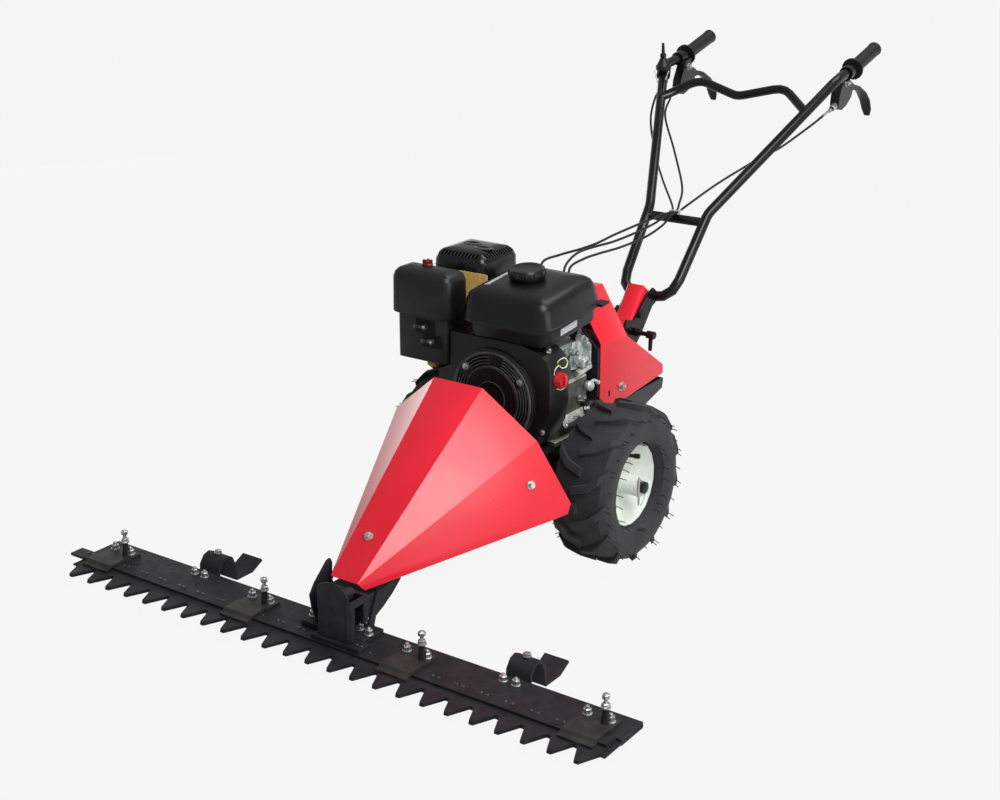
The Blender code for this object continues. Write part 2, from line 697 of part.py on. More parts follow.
# Guard folded round the front of the drive arm: a domed front face, lower wings and a window on the right
inner = [(-0.018, -0.6190), (-0.0365, -0.6190), (-0.0365, -0.654), (-0.032, -0.6585)]
outer = [(-0.0330, -0.6610), (-0.0390, -0.6550), (-0.0390, -0.6163), (-0.018, -0.6163)]
guard_loop = inner + mirrored(inner)[::-1] + mirrored(outer)[::-1] + outer
guard = slab("front_shield", [(x + ARM_X, y) for x, y in guard_loop], "z", (0.0455, 0.1535))
above_wings = box("above_wings", (-0.1, 0.1), (-0.6575, -0.600), (0.122, 0.2))
window = box("window", (ARM_X + 0.012, 0.1), (-0.646, -0.600), (0.03, 0.108))
dome = [(-0.1, 0.2), (-0.1, 0.134), (-0.039, 0.134), (-0.0275, 0.143), (-0.0135, 0.149), (0.0025, 0.152),
        (0.0185, 0.149), (0.0295, 0.140), (0.039, 0.124), (0.1, 0.124), (0.1, 0.2)]
above_front = slab("above_front", [(x + ARM_X, z) for x, z in dome], "y", (-0.70, -0.60))
node("front_shield", cut(guard, above_wings, window, above_front), BLACK)

# Hold-down clamps: flat on the bar behind the knife, a joggle over its back, a lip on the sections
clamp_under = (
    (-0.600, BAR_Z[2] + GAP), (-0.638, BAR_Z[2] + GAP), (-0.640, KNIFE_Z[2] + 0.0008),
    (-0.674, KNIFE_Z[2] + 0.0008), (-0.678, KNIFE_Z[1] + GAP), (-0.690, KNIFE_Z[1] + GAP),
)
clamp_over = (
    (-0.690, 0.0355), (-0.681, 0.0365), (-0.676, 0.0415), (-0.640, 0.0425), (-0.636, 0.0395), (-0.600, 0.0395),
)
for number, x in enumerate(CLAMP_X, 1):
    plate = slab("clamp", (*clamp_under, *clamp_over), "x", (x - 0.033, x + 0.033))
    node(f"knife_clamp_{number}", plate, SATIN)

# Skid shoes: one bent strip each, bolted under the bar, arched behind it, with a runner on the ground
skid_route = ((-0.645, 0.0190), (-0.572, 0.0190), (-0.5675, 0.0240), (-0.566, 0.040), (-0.556, 0.0535),
              (-0.543, 0.0570), (-0.531, 0.0510), (-0.524, 0.034), (-0.519, 0.0025), (-0.477, 0.0025),
              (-0.449, 0.0165))


def band(route, thickness):
    """The outline of a strip of even thickness along a route."""
    route = [Vector(point) for point in route]
    sides = ([], [])
    for i, place in enumerate(route):
        before = (place - route[max(i - 1, 0)]).normalized()
        after = (route[min(i + 1, len(route) - 1)] - place).normalized()
        lead = (before + after).normalized()
        across = Vector((-lead.y, lead.x))
        reach = thickness / 2 / max(across.dot(Vector((-after.y, after.x))) or 1, 0.6)
        if i in (0, len(route) - 1):
            reach = thickness / 2
        sides[0].append(tuple(place + across * reach))
        sides[1].append(tuple(place - across * reach))
    return sides[0] + sides[1][::-1]


for x, word in zip(SKID_X, ("left", "right")):
    strip = slab("skid", band(skid_route, 0.005), "x", (x - SKID_WIDTH / 2, x + SKID_WIDTH / 2))
    node("skid_shoe_" + word, strip, SATIN)

# Engine: crankcase on its sump flange, with the barrel inclined to the left and the head at its end
block = box("engine_block", (-0.082, 0.088), (-0.062, 0.064), (ENGINE_Z + 0.002, 0.352), 0.006)
flange = box("flange", (-0.090, 0.097), (-0.0657, 0.070), (ENGINE_Z, 0.242), 0.002)
gear_case = box("gear_case", (0.020, 0.084), (-0.055, 0.050), (0.345, 0.425), 0.006)
BARREL_TILT = math.radians(25)
BARREL_START = (-0.020, 0.349)
FIN_COUNT = 7
FIN_PITCH = 0.0145
FIN_START = 0.052
HEAD_START = FIN_START + (FIN_COUNT - 1) * FIN_PITCH + 0.005
HEAD_END = HEAD_START + 0.051


def inclined(along, across):
    """(x, z) of a point of the barrel: along its axis away from the crank, across it upwards."""
    c, s = math.cos(BARREL_TILT), math.sin(BARREL_TILT)
    return (BARREL_START[0] - along * c + across * s, BARREL_START[1] + along * s + across * c)


comb = [(0.0, 0.038)]
for i in range(FIN_COUNT):
    start = FIN_START + i * FIN_PITCH
    comb += [(start, 0.038), (start, 0.048), (start + 0.003, 0.048), (start + 0.003, 0.038)]
comb.append((HEAD_START + 0.002, 0.038))
outline = [inclined(*point) for point in comb] + [inclined(along, -across) for along, across in comb[::-1]]
barrel = slab("barrel", outline, "y", (-0.050, 0.052))
head = slab(
    "head",
    [inclined(*point) for point in ((HEAD_START, -0.0388), (HEAD_START, 0.0388), (HEAD_END - 0.010, 0.0388),
                                    (HEAD_END, 0.030), (HEAD_END, -0.030), (HEAD_END - 0.010, -0.0388))],
    "y",
    (-0.0502, 0.048),
)
port = rod("port", (-0.165, 0.020, 0.430), (-0.165, 0.020, 0.4640), 0.018, 16)
rear_boss = rod("rear_boss", (0, 0.060, CRANK_Z), (0, 0.068, CRANK_Z), 0.030, 20)
ledge = slab("ledge", ((0.080, 0.304), (0.087, 0.304), (0.106, 0.273), (0.106, 0.265), (0.080, 0.258)), "y",
             (-0.048, 0.026))
tank_turn = Matrix.Translation(TANK_PIVOT) @ Matrix.Rotation(TANK_TILT, 4, "X") @ Matrix.Translation(-TANK_PIVOT)
posts = []
for start, end in ((-0.056, -0.042), (0.030, 0.044)):
    top = [(tank_turn @ Vector((0, y, TANK_FLOOR_Z - GAP))).yz[:] for y in (end, start)]
    posts.append(slab("post", [(start, 0.420), (end, 0.420), *top], "x", (0.066, 0.082)))
node("engine_block", join(block, flange, gear_case, barrel, head, port, rear_boss, ledge, *posts), ALUMINIUM)

# Blower housing and starter in front of the crankcase
BLOWER_Y = (-0.136, -0.066)
blower_outline = (
    (-0.140, 0.330), (-0.140, 0.370), (-0.1125, 0.3835), (-0.1125, 0.4547), (0.060, 0.4547), (0.100, 0.446),
    (0.120, 0.430), (0.128, 0.410), (0.128, 0.335), (0.121, 0.298), (0.104, 0.265), (0.082, 0.2427),
    (-0.070, 0.2427), (-0.112, 0.268),
)
housing = slab("blower_housing", blower_outline, "y", BLOWER_Y)
rounding = housing.modifiers.new("edges", "BEVEL")
rounding.width = 0.006
rounding.segments = 2
rounding.limit_method = "ANGLE"
rounding.angle_limit = math.radians(70)
node("blower_housing", baked(housing), PLASTIC)
starter_profile = (
    (BLOWER_Y[0] - GAP, 0.0), (BLOWER_Y[0] - GAP, 0.098), (-0.143, 0.0975), (-0.1475, 0.091), (-0.1475, 0.064),
    (-0.151, 0.060), (-0.151, 0.034), (-0.148, 0.031), (-0.148, 0.0),
)
node("recoil_starter", turned("recoil_starter", starter_profile, "y", (0, 0, CRANK_Z), 24), PLASTIC)

# Fuel tank on top of the blower housing, with its seam flange, neck and cap
TANK_X = (-0.078, 0.133)
TANK_Y = (-0.157, 0.055)
CAP_AT = (0.017, -0.045)
tank_levels = ((TANK_FLOOR_Z, 0.017), (0.4680, 0.012), (0.4970, 0.012), (0.4971, 0.000), (0.5030, 0.000),
               (0.5040, 0.002), (0.5360, 0.008), (0.5480, 0.014), (0.5560, 0.026), (0.5600, 0.048),
               (0.5605, 0.070))
tank = domed("fuel_tank", TANK_X, TANK_Y, 0.036, tank_levels)
neck = rod("neck", (*CAP_AT, 0.550), (*CAP_AT, 0.5650), 0.031, 24)
tab = box("tab", (0.122, 0.142), (0.024, 0.050), (0.4975, 0.5025))
tank = join(tank, neck, tab)
tank.data.transform(tank_turn)
node("fuel_tank", tank, PLASTIC)
cap_profile = (
    (0.5653, 0.0), (0.5653, 0.0315), (0.5620, 0.0315), (0.5620, 0.0345), (0.5645, 0.0360), (0.5775, 0.0355),
    (0.5820, 0.0315), (0.5805, 0.0200), (0.5805, 0.0),
)
cap = turned("fuel_cap", cap_profile, "z", (*CAP_AT, 0), 24)
cap.data.transform(tank_turn)
node("fuel_cap", cap, PLASTIC, tank_turn @ Vector((*CAP_AT, 0.5653)))

# Air cleaner, the panel under it and the carburettor that the panel hides
PANEL_X = (-0.232, -0.1128)
PANEL_Y = (-0.147, -0.072)
PANEL_Z = (0.384, 0.4747)
air_levels = ((PANEL_Z[1] + GAP, 0.002), (0.4770, 0.000), (0.5480, 0.001), (0.5580, 0.005), (0.5650, 0.014),
              (0.5680, 0.027))
air_cleaner = domed("air_cleaner", (-0.246, -0.100), (-0.153, -0.078), 0.020, air_levels)
node("air_cleaner", air_cleaner, PLASTIC)
wall = 0.003
x0, x1 = PANEL_X
y0, y1 = PANEL_Y
panel_outline = (
    (x0, y1), (x0, y0 + 0.010), (x0 + 0.004, y0 + 0.003), (x0 + 0.010, y0), (x1 - 0.008, y0), (x1, y0 + 0.008),
    (x1, y1), (x1 - wall, y1), (x1 - wall, y0 + 0.009), (x1 - 0.009, y0 + wall), (x0 + 0.0105, y0 + wall),
    (x0 + 0.0055, y0 + 0.0055), (x0 + wall, y0 + 0.0105), (x0 + wall, y1),
)
node("intake_panel", slab("intake_panel", panel_outline, "z", PANEL_Z), PLASTIC)
carburettor = box("carburettor", (-0.190, -0.140), (-0.125, -0.080), (0.390, 0.440), 0.004)
intake = rod("intake", (-0.165, -0.090, 0.415), (-0.165, -0.0506, 0.415), 0.014, 16)
horn = box("horn", (-0.184, -0.148), (-0.118, -0.088), (0.430, PANEL_Z[1]), 0.003)
bowl = rod("bowl", (-0.165, -0.102, 0.366), (-0.165, -0.102, 0.395), 0.021, 20)
bowl_tip = rod("tip", (-0.165, -0.102, 0.352), (-0.165, -0.102, 0.3665), 0.006, 20, 0.021)
node("carburettor", join(carburettor, intake, horn, bowl, bowl_tip), BRASS)


def panel_lever(name, pivot, reach):
    """A small lever in front of the intake panel, turning about Y, its tip to the left."""
    front = PANEL_Y[0] - GAP
    hub = rod(name, (pivot[0], front, pivot[1]), (pivot[0], front - 0.007, pivot[1]), 0.006, 14)
    arm = box("arm", (pivot[0] - reach, pivot[0]), (front - 0.006, front - 0.003), (pivot[1] - 0.003, pivot[1] + 0.003))
    tip = box("tip", (pivot[0] - reach, pivot[0] - reach + 0.006), (front - 0.012, front - 0.004),
              (pivot[1] - 0.004, pivot[1] + 0.004), 0.001)
    node(name, join(hub, arm, tip), PLASTIC, (pivot[0], front, pivot[1]))


panel_lever("choke_lever", (-0.160, 0.455), 0.024)
panel_lever("fuel_lever", (-0.143, 0.428), 0.022)

# Muffler with its pipe on the head, the slotted guard over it and the heat plate beside the tank
GUARD_X = (-0.225, -0.092)
GUARD_Y = (-0.045, 0.088)
guard = domed("muffler_guard", GUARD_X, GUARD_Y, 0.024,
              ((0.466, 0.000), (0.565, 0.002), (0.5765, 0.008), (0.5840, 0.019), (0.5870, 0.034)))
inside = domed("inside", GUARD_X, GUARD_Y, 0.024,
               ((0.460, 0.0025), (0.5625, 0.0045), (0.5740, 0.0105), (0.5815, 0.0215), (0.5845, 0.0365)))
node("muffler_guard", cut(guard, inside), BLACK)
muffler = domed("muffler", (-0.2105, -0.1065), (-0.031, 0.074), 0.016,
                ((0.482, 0.005), (0.487, 0.000), (0.558, 0.000), (0.570, 0.006), (0.5842, 0.032)))
pipe = rod("pipe", (-0.165, 0.020, 0.4643), (-0.165, 0.020, 0.490), 0.014, 16)
node("muffler", join(muffler, pipe), SATIN)
HEAT_PLATE_Y = GUARD_Y[0] - GAP
heat_plate = box("heat_shield", (-0.150, -0.082), (HEAT_PLATE_Y - 0.002, HEAT_PLATE_Y), (0.474, 0.550))
node("heat_shield", heat_plate, AMBER)

# Governor and throttle brackets on the right of the engine, stop switch and oil filler
LINK_X = 0.0843
plate = slab(
    "control_linkage",
    ((-0.004, 0.398), (0.002, 0.372), (0.040, 0.366), (0.045, 0.400), (0.032, 0.428), (0.004, 0.428)),
    "x",
    (LINK_X, LINK_X + 0.003),
)
strip = box("strip", (LINK_X, LINK_X + 0.003), (-0.060, 0.004), (0.407, 0.419))
front_plate = box("front_plate", (LINK_X + 0.001, LINK_X + 0.014), (-0.062, -0.059), (0.404, 0.430))
lever_boss = rod("lever_boss", (LINK_X + 0.002, -0.008, 0.413), (0.102, -0.008, 0.413), 0.0075, 12)
block = box("block", (LINK_X + 0.002, 0.106), (0.018, 0.0385), (0.375, 0.394), 0.002)
upright = box("upright", (LINK_X + 0.002, 0.095), (0.016, 0.029), (0.390, 0.438), 0.002)
bolt_boss = rod("bolt_boss", (LINK_X + 0.002, 0.0225, 0.434), (0.102, 0.0225, 0.434), 0.007, 12)
spring_case = rod("spring_case", (0.093, 0.014, 0.361), (0.099, 0.050, 0.372), 0.0075, 12)
foot_plate = box("foot_plate", (LINK_X + 0.001, 0.106), (0.0415, 0.0448), (0.370, 0.418))
node(
    "control_linkage",
    join(plate, strip, front_plate, lever_boss, block, upright, bolt_boss, spring_case, foot_plate),
    ZINC,
)

SWITCH_AT = (0.1283, -0.108, 0.390)
knob = rod("engine_switch", SWITCH_AT, (SWITCH_AT[0] + 0.013, *SWITCH_AT[1:]), 0.0165, 20, 0.0140)
ridge = box("ridge", (SWITCH_AT[0] + 0.012, SWITCH_AT[0] + 0.018), (SWITCH_AT[1] - 0.0035, SWITCH_AT[1] + 0.0035),
            (SWITCH_AT[2] - 0.011, SWITCH_AT[2] + 0.011), 0.001)
node("engine_switch", join(knob, ridge), SWITCH_RED, SWITCH_AT)
PLUG_AT = (0.0883, 0.045, 0.285)
plug_profile = ((0.0, 0.0), (0.0, 0.0125), (0.010, 0.0125), (0.010, 0.0160), (0.021, 0.0160), (0.024, 0.0140),
                (0.024, 0.0))
node("oil_plug", turned("oil_plug", plug_profile, "x", PLUG_AT, 16), PLASTIC, PLUG_AT)

# Belt drive inside the rear cover: engine pulley, gearbox pulley and the belt round both
PULLEY_Y = (BELT_Y[0] - GAP - 0.005, BELT_Y[0] - GAP, BELT_Y[1] + GAP, BELT_Y[1] + GAP + 0.005)


def pulley(name, pitch, z, shaft, shaft_start):
    rim, groove = pitch + 0.004, pitch - 0.004
    profile = (
        (shaft_start, 0.0), (shaft_start, shaft), (PULLEY_Y[0], shaft), (PULLEY_Y[0], rim), (PULLEY_Y[1], rim),
        (PULLEY_Y[1], groove), (PULLEY_Y[2], groove), (PULLEY_Y[2], rim), (PULLEY_Y[3], rim), (PULLEY_Y[3], shaft),
        (0.138, shaft), (0.138, 0.0),
    )
    node(name, turned(name, profile, "y", (0, 0, z), 14), GREY, (0, (BELT_Y[0] + BELT_Y[1]) / 2, z))


pulley("engine_pulley", ENGINE_PULLEY_R, CRANK_Z, 0.0125, 0.0683)
pulley("gearbox_pulley", GEARBOX_PULLEY_R, INPUT_Z, 0.010, 0.0963)


def belt_loop(offset, steps=10):
    """The open loop round both pulleys at this distance from their pitch lines, (x, z)."""
    tilt = math.degrees(math.asin((GEARBOX_PULLEY_R - ENGINE_PULLEY_R) / (CRANK_Z - INPUT_Z)))
    top = arc((0, CRANK_Z), ENGINE_PULLEY_R + offset, tilt, 180 - tilt, steps)
    return top + arc((0, INPUT_Z), GEARBOX_PULLEY_R + offset, 180 - tilt, 360 + tilt, steps)


node("drive_belt", slab("drive_belt", belt_loop(0.0035), "y", BELT_Y, [belt_loop(-0.0030)]), PLASTIC)

# Handlebar: one bent tube, two cross tubes and the two plates that straddle the column
RIGHT_HALF = ((0.064, 0.439, 0.411), (0.074, 0.577, 0.578), (0.222, 0.886, 0.847), (GRIP_X, 0.981, 0.861),
              (GRIP_X, 1.103, 0.894))
LEFT_HALF = mirrored(RIGHT_HALF)[::-1]
main_tube = tube("handlebar", (*LEFT_HALF, *RIGHT_HALF), TUBE_R, 10, 0.052, 3)
low_cross = rod("low_cross", (-0.069, 0.564, 0.5605), (0.069, 0.564, 0.5605), TUBE_R * 0.9, 12)
WAVE = ((0.187, 0.809, 0.782), (0.109, 0.857, 0.825), (0, 0.838, 0.798))
high_cross = tube("high_cross", (*mirrored(WAVE), *WAVE[1::-1]), TUBE_R * 0.88, 10, 0.050, 3)
SLOT_R = math.hypot(STUD[0] - PIVOT[0], STUD[1] - PIVOT[1])
SLOT_HALF = 0.005 + 0.0004
slot_ends = (225.2, 250.4)


def along_slot(offset, angle):
    a = math.radians(angle)
    return (PIVOT[0] + (SLOT_R + offset) * math.cos(a), PIVOT[1] + (SLOT_R + offset) * math.sin(a))


slot = arc(PIVOT, SLOT_R + SLOT_HALF, *slot_ends, 6)
slot += arc(along_slot(0, slot_ends[1]), SLOT_HALF, slot_ends[1], slot_ends[1] + 180, 5)[1:-1]
slot += arc(PIVOT, SLOT_R - SLOT_HALF, *slot_ends[::-1], 6)
slot += arc(along_slot(0, slot_ends[0]), SLOT_HALF, slot_ends[0] + 180, slot_ends[0] + 360, 5)[1:-1]
PLATE_OUTLINE = ((0.448, 0.411), (0.443, 0.424), (0.430, 0.434), (0.403, 0.425), (0.349, 0.380), (0.318, 0.388),
                 (0.309, 0.372), (0.343, 0.322), (0.356, 0.319), (0.384, 0.345), (0.426, 0.394), (0.443, 0.401))
PLATE_X = (COLUMN_HALF + 0.0004, COLUMN_HALF + 0.0054)
plates = [
    slab("plate", PLATE_OUTLINE, "x", (side * PLATE_X[0], side * PLATE_X[1]), [circle(PIVOT, 0.0063, 16), slot])
    for side in (1, -1)
]
node("handlebar", join(main_tube, low_cross, high_cross, *plates), SATIN, (0, *PIVOT))

# Pivot bolt through the plates and the column, and the clamp lever that locks the tilt
bolt = rod("pivot_bolt", (-0.033, *PIVOT), (0.033, *PIVOT), 0.006, 16)
heads = [
    rod("head", (side * (PLATE_X[1] + GAP), *PIVOT), (side * (PLATE_X[1] + 0.007), *PIVOT), 0.0105, 6)
    for side in (1, -1)
]
node("pivot_bolt", join(bolt, *heads), ZINC)
stud = rod("clamp_lever", (-0.036, *STUD), (0.070, *STUD), 0.005, 14)
stud_head = rod("head", (-PLATE_X[1] - GAP, *STUD), (-0.034, *STUD), 0.009, 6)
collar = rod("collar", (PLATE_X[1] + GAP, *STUD), (0.040, *STUD), 0.0085, 14)
hub = rod("hub", (0.058, *STUD), (0.076, *STUD), 0.0085, 12)
arm = rod("arm", (0.067, *STUD), (0.067, 0.350, 0.3185), 0.0050, 12, 0.0042)
node("clamp_lever", join(stud, stud_head, collar, hub, arm), SATIN, (0.0, *STUD))

# Grips slipped over the tube ends
grip_lead = Vector(RIGHT_HALF[4]) - Vector(RIGHT_HALF[3])
grip_profile = (
    (0.0, TUBE_R + GAP), (0.0, 0.0255), (0.005, 0.0255), (0.008, 0.0165), (0.012, 0.0160), (0.114, 0.0160),
    (0.128, 0.0172), (0.132, 0.0135), (0.132, 0.0), (grip_lead.length + GAP, 0.0),
    (grip_lead.length + GAP, TUBE_R + GAP),
)
for side, word in ((1, "right"), (-1, "left")):
    grip = turned("grip", grip_profile, "z", (0, 0, 0), 16)
    start = Vector((side * GRIP_X, *RIGHT_HALF[3][1:]))
    turn = Vector((0, *grip_lead.yz)).to_track_quat("Z", "Y").to_matrix().to_4x4()
    grip.data.transform(Matrix.Translation(start) @ turn)
    node("grip_" + word, grip, GRIP_RUBBER)

# Perch castings clamped round the tube, each with a lever and a cable adjuster
TUBE_LEAD = (Vector(RIGHT_HALF[3]) - Vector(RIGHT_HALF[2])).normalized()
PERCH_MID = Vector((0.2190, 0.958, 0.8575))
PERCH_X = 0.2065
PERCH_OUTLINE = ((0.947, 0.853), (0.970, 0.857), (0.975, 0.838), (1.000, 0.825), (0.989, 0.797), (0.964, 0.781),
                 (0.939, 0.773), (0.920, 0.785), (0.923, 0.808))
LEVER_PIVOT = (0.986, 0.815)
LEVER_STATIONS = (
    (0.975, 0.817, 0.005, 0.009), (0.996, 0.815, 0.006, 0.009), (1.019, 0.815, 0.007, 0.006),
    (1.046, 0.810, 0.009, 0.005), (1.074, 0.795, 0.012, 0.0045), (1.097, 0.775, 0.0125, 0.004),
    (1.111, 0.752, 0.0115, 0.004), (1.117, 0.737, 0.007, 0.003),
)
for side, word in ((1, "right"), (-1, "left")):
    at = Vector((side * PERCH_MID.x, *PERCH_MID.yz))
    lead = Vector((side * TUBE_LEAD.x, *TUBE_LEAD.yz))
    collar = rod("clutch_perch", at - lead * 0.014, at + lead * 0.014, 0.0165, 16)
    mid_x = side * PERCH_X
    body = slab("body", PERCH_OUTLINE, "x", (mid_x - 0.011, mid_x + 0.011))
    adjuster = rod("adjuster", (mid_x, 0.926, 0.785), (mid_x, 0.902, 0.778), 0.0055, 12)
    bore = rod("bore", at - lead * 0.06, at + lead * 0.06, TUBE_R + 2 * GAP, 16)
    slot_cut = slab("slot", ((0.962, 0.841), (1.029, 0.841), (1.029, 0.765), (0.962, 0.789)), "x",
                    (mid_x - 0.0065, mid_x + 0.0065))
    pin = rod("pin", (mid_x - 0.010, *LEVER_PIVOT), (mid_x + 0.010, *LEVER_PIVOT), 0.0035, 12)
    perch = join(cut(join(collar, body, adjuster), bore, slot_cut), pin)
    node("clutch_perch_" + word, perch, PLASTIC)
    rings = []
    for i, (y, z, half, thick) in enumerate(LEVER_STATIONS):
        before = LEVER_STATIONS[max(i - 1, 0)]
        after = LEVER_STATIONS[min(i + 1, len(LEVER_STATIONS) - 1)]
        way = Vector((after[0] - before[0], after[1] - before[1])).normalized()
        up = Vector((-way.y, way.x))
        ring = []
        for u, v in ((-1, 0.5), (-0.6, 1), (0.6, 1), (1, 0.5), (1, -0.5), (0.6, -1), (-0.6, -1), (-1, -0.5)):
            ring.append((mid_x + u * half, y + up.x * v * thick, z + up.y * v * thick))
        rings.append(ring)
    pin_bore = rod("bore", (mid_x - 0.05, *LEVER_PIVOT), (mid_x + 0.05, *LEVER_PIVOT), 0.0035 + GAP, 12)
    node("clutch_lever_" + word, cut(loft("lever", rings), pin_bore), SATIN, (mid_x, *LEVER_PIVOT))

# Throttle: a clamped base with a cone on the left tube, and the stick that rocks on top of it
THROTTLE_MID = Vector((-0.2124, 0.866, 0.8305))
across = (Vector(LEFT_HALF[2]) - Vector(LEFT_HALF[3])).normalized()
out = Vector((0, -0.10, 0.995)).normalized()
collar = rod("throttle_body", THROTTLE_MID - across * 0.009, THROTTLE_MID + across * 0.009, 0.0165, 16)
ring = rod("ring", THROTTLE_MID + out * 0.010, THROTTLE_MID + out * 0.019, 0.0185, 16)
cone = rod("cone", THROTTLE_MID + out * 0.0185, THROTTLE_MID + out * 0.036, 0.0170, 16, 0.0080)
strap = rod("strap", THROTTLE_MID - out * 0.006, THROTTLE_MID - out * 0.024, 0.0115, 16, 0.0095)
bore = rod("bore", THROTTLE_MID - across * 0.05, THROTTLE_MID + across * 0.05, TUBE_R + 4 * GAP, 16)
node("throttle_body", cut(join(collar, ring, cone, strap), bore), PLASTIC)
THROTTLE_PIVOT = THROTTLE_MID + out * (0.036 + GAP + 0.006)
hub_reach = Vector((0.0055, 0, 0))
hub = rod("throttle_lever", THROTTLE_PIVOT - hub_reach, THROTTLE_PIVOT + hub_reach, 0.006, 14)
stick = rod("stick", THROTTLE_PIVOT, THROTTLE_PIVOT + out * 0.030, 0.0045, 12, 0.0032)
node("throttle_lever", join(hub, stick), PLASTIC, THROTTLE_PIVOT)

# Control cables: the upper runs ride with the handlebar to the tie on its lower cross tube, the lower ones go on
CABLE_R = 0.0028
CABLE_RUNS = {
    "clutch_cable_right": (
        (0.2065, 0.9012, 0.7777), (0.204, 0.880, 0.771), (0.1947, 0.820, 0.750), (0.157, 0.752, 0.708),
        (0.1326, 0.7325, 0.6935), (0.110, 0.707, 0.6755), (0.062, 0.640, 0.634), (0.022, 0.591, 0.594),
        (0.0085, 0.576, 0.580), (0.0045, 0.5670, 0.5743), (0.0045, 0.5565, 0.5741),
    ),
    "clutch_cable_left": (
        (-0.2065, 0.9012, 0.7777), (-0.2040, 0.888, 0.769), (-0.1895, 0.840, 0.7335), (-0.1066, 0.740, 0.6757),
        (-0.033, 0.650, 0.6149), (-0.0116, 0.600, 0.5857), (-0.0045, 0.579, 0.5770), (-0.003, 0.5670, 0.5742),
        (-0.003, 0.5565, 0.5741),
    ),
    "throttle_cable": (
        (-0.2124, 0.8690, 0.8050), (-0.2155, 0.865, 0.796), (-0.2240, 0.849, 0.772), (-0.2225, 0.829, 0.7197),
        (-0.1896, 0.800, 0.648), (-0.1248, 0.720, 0.6108), (-0.0433, 0.620, 0.5820), (-0.0175, 0.582, 0.5755),
        (-0.0105, 0.5670, 0.5742), (-0.0105, 0.5565, 0.5741),
    ),
    "clutch_cable_right_lower": (
        (0.0045, 0.5558, 0.5741), (0.0062, 0.530, 0.5725), (0.013, 0.480, 0.5615), (0.017, 0.400, 0.5525),
        (0.016, 0.300, 0.5505), (0.015, 0.220, 0.554), (0.0175, 0.150, 0.5563), (0.0205, 0.096, 0.5500),
        (0.029, 0.083, 0.520), (0.030, 0.0865, 0.444),
    ),
    "clutch_cable_left_lower": (
        (-0.003, 0.5560, 0.5741), (-0.0015, 0.515, 0.5725), (0.006, 0.450, 0.569), (0.011, 0.360, 0.567),
        (0.0094, 0.280, 0.5655), (0.0047, 0.220, 0.567), (0.0036, 0.160, 0.5680), (0.0110, 0.110, 0.5630),
        (0.0180, 0.078, 0.548), (0.0165, 0.078, 0.500), (0.016, 0.0815, 0.444),
    ),
    "throttle_cable_lower": (
        (-0.0105, 0.5560, 0.5741), (-0.0095, 0.510, 0.5755), (-0.004, 0.400, 0.5765), (-0.004, 0.300, 0.573),
        (-0.005, 0.240, 0.5685), (-0.011, 0.180, 0.5665), (-0.020, 0.120, 0.5660), (-0.035, 0.080, 0.557),
        (-0.030, 0.070, 0.520), (0.030, 0.066, 0.455), (0.088, 0.064, 0.418), (0.098, 0.0465, 0.405),
    ),
}
for name, points in CABLE_RUNS.items():
    node(name, cord(name, points, CABLE_R, 6, 3), CABLE)
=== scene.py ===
"""Motor mower with a front cutter bar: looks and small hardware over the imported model."""
import math

import bmesh
import bpy
from mathutils import Matrix, Vector


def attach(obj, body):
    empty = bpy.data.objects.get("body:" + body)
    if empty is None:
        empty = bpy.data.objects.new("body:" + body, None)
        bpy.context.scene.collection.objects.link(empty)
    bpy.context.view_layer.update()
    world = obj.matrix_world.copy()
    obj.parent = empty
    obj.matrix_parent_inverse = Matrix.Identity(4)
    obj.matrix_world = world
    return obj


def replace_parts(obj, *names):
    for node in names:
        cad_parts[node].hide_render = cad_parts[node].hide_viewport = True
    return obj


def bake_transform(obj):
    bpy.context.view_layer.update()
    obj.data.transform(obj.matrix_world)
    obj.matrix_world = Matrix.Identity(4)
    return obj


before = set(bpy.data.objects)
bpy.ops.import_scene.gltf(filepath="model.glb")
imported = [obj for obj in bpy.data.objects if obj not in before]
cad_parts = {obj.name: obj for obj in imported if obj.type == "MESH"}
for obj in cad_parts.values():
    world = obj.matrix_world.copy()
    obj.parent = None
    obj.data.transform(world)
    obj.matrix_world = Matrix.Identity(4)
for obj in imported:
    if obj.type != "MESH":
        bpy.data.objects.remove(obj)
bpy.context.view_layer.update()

MM = 0.001
UP = (0, 0, 1)
AHEAD = (0, -1, 0)
TO_RIGHT = (1, 0, 0)

# Camera at the photograph's place
LENS = 58.13
SENSOR = 36
AZIMUTH = math.radians(35.04)
ELEVATION = math.radians(19.38)
ROLL = math.radians(0.03)
CAMERA_AT = (1.713, -2.562, 1.376)
FARTHEST = 60

camera = bpy.data.objects.new("camera", bpy.data.cameras.new("camera"))
bpy.context.scene.collection.objects.link(camera)
camera.data.lens = LENS
camera.data.sensor_width = SENSOR
camera.data.clip_end = FARTHEST
flat = math.cos(ELEVATION)
back = Vector((math.sin(AZIMUTH) * flat, -math.cos(AZIMUTH) * flat, math.sin(ELEVATION)))
right = Vector((math.cos(AZIMUTH), math.sin(AZIMUTH), 0))
facing = Matrix((right, back.cross(right), back)).transposed().to_4x4()
camera.matrix_world = Matrix.Translation(CAMERA_AT) @ facing @ Matrix.Rotation(ROLL, 4, "Z")
bpy.context.scene.camera = camera


# Colours and node materials
def linear(code):
    """An sRGB hex colour as linear RGBA."""
    channels = [int(code[i : i + 2], 16) / 255 for i in (0, 2, 4)]
    return (*(c / 12.92 if c <= 0.04045 else ((c + 0.055) / 1.055) ** 2.4 for c in channels), 1)


def add(tree, kind, settings=(), links=()):
    """A node with its settings and its linked inputs, which go by name or by place in the node's list."""
    made = tree.nodes.new(kind)
    for key, value in dict(settings).items():
        if isinstance(key, int) or key in made.inputs:
            made.inputs[key].default_value = value
        else:
            setattr(made, key, value)
    for key, source in dict(links).items():
        tree.links.new(source, made.inputs[key])
    return made


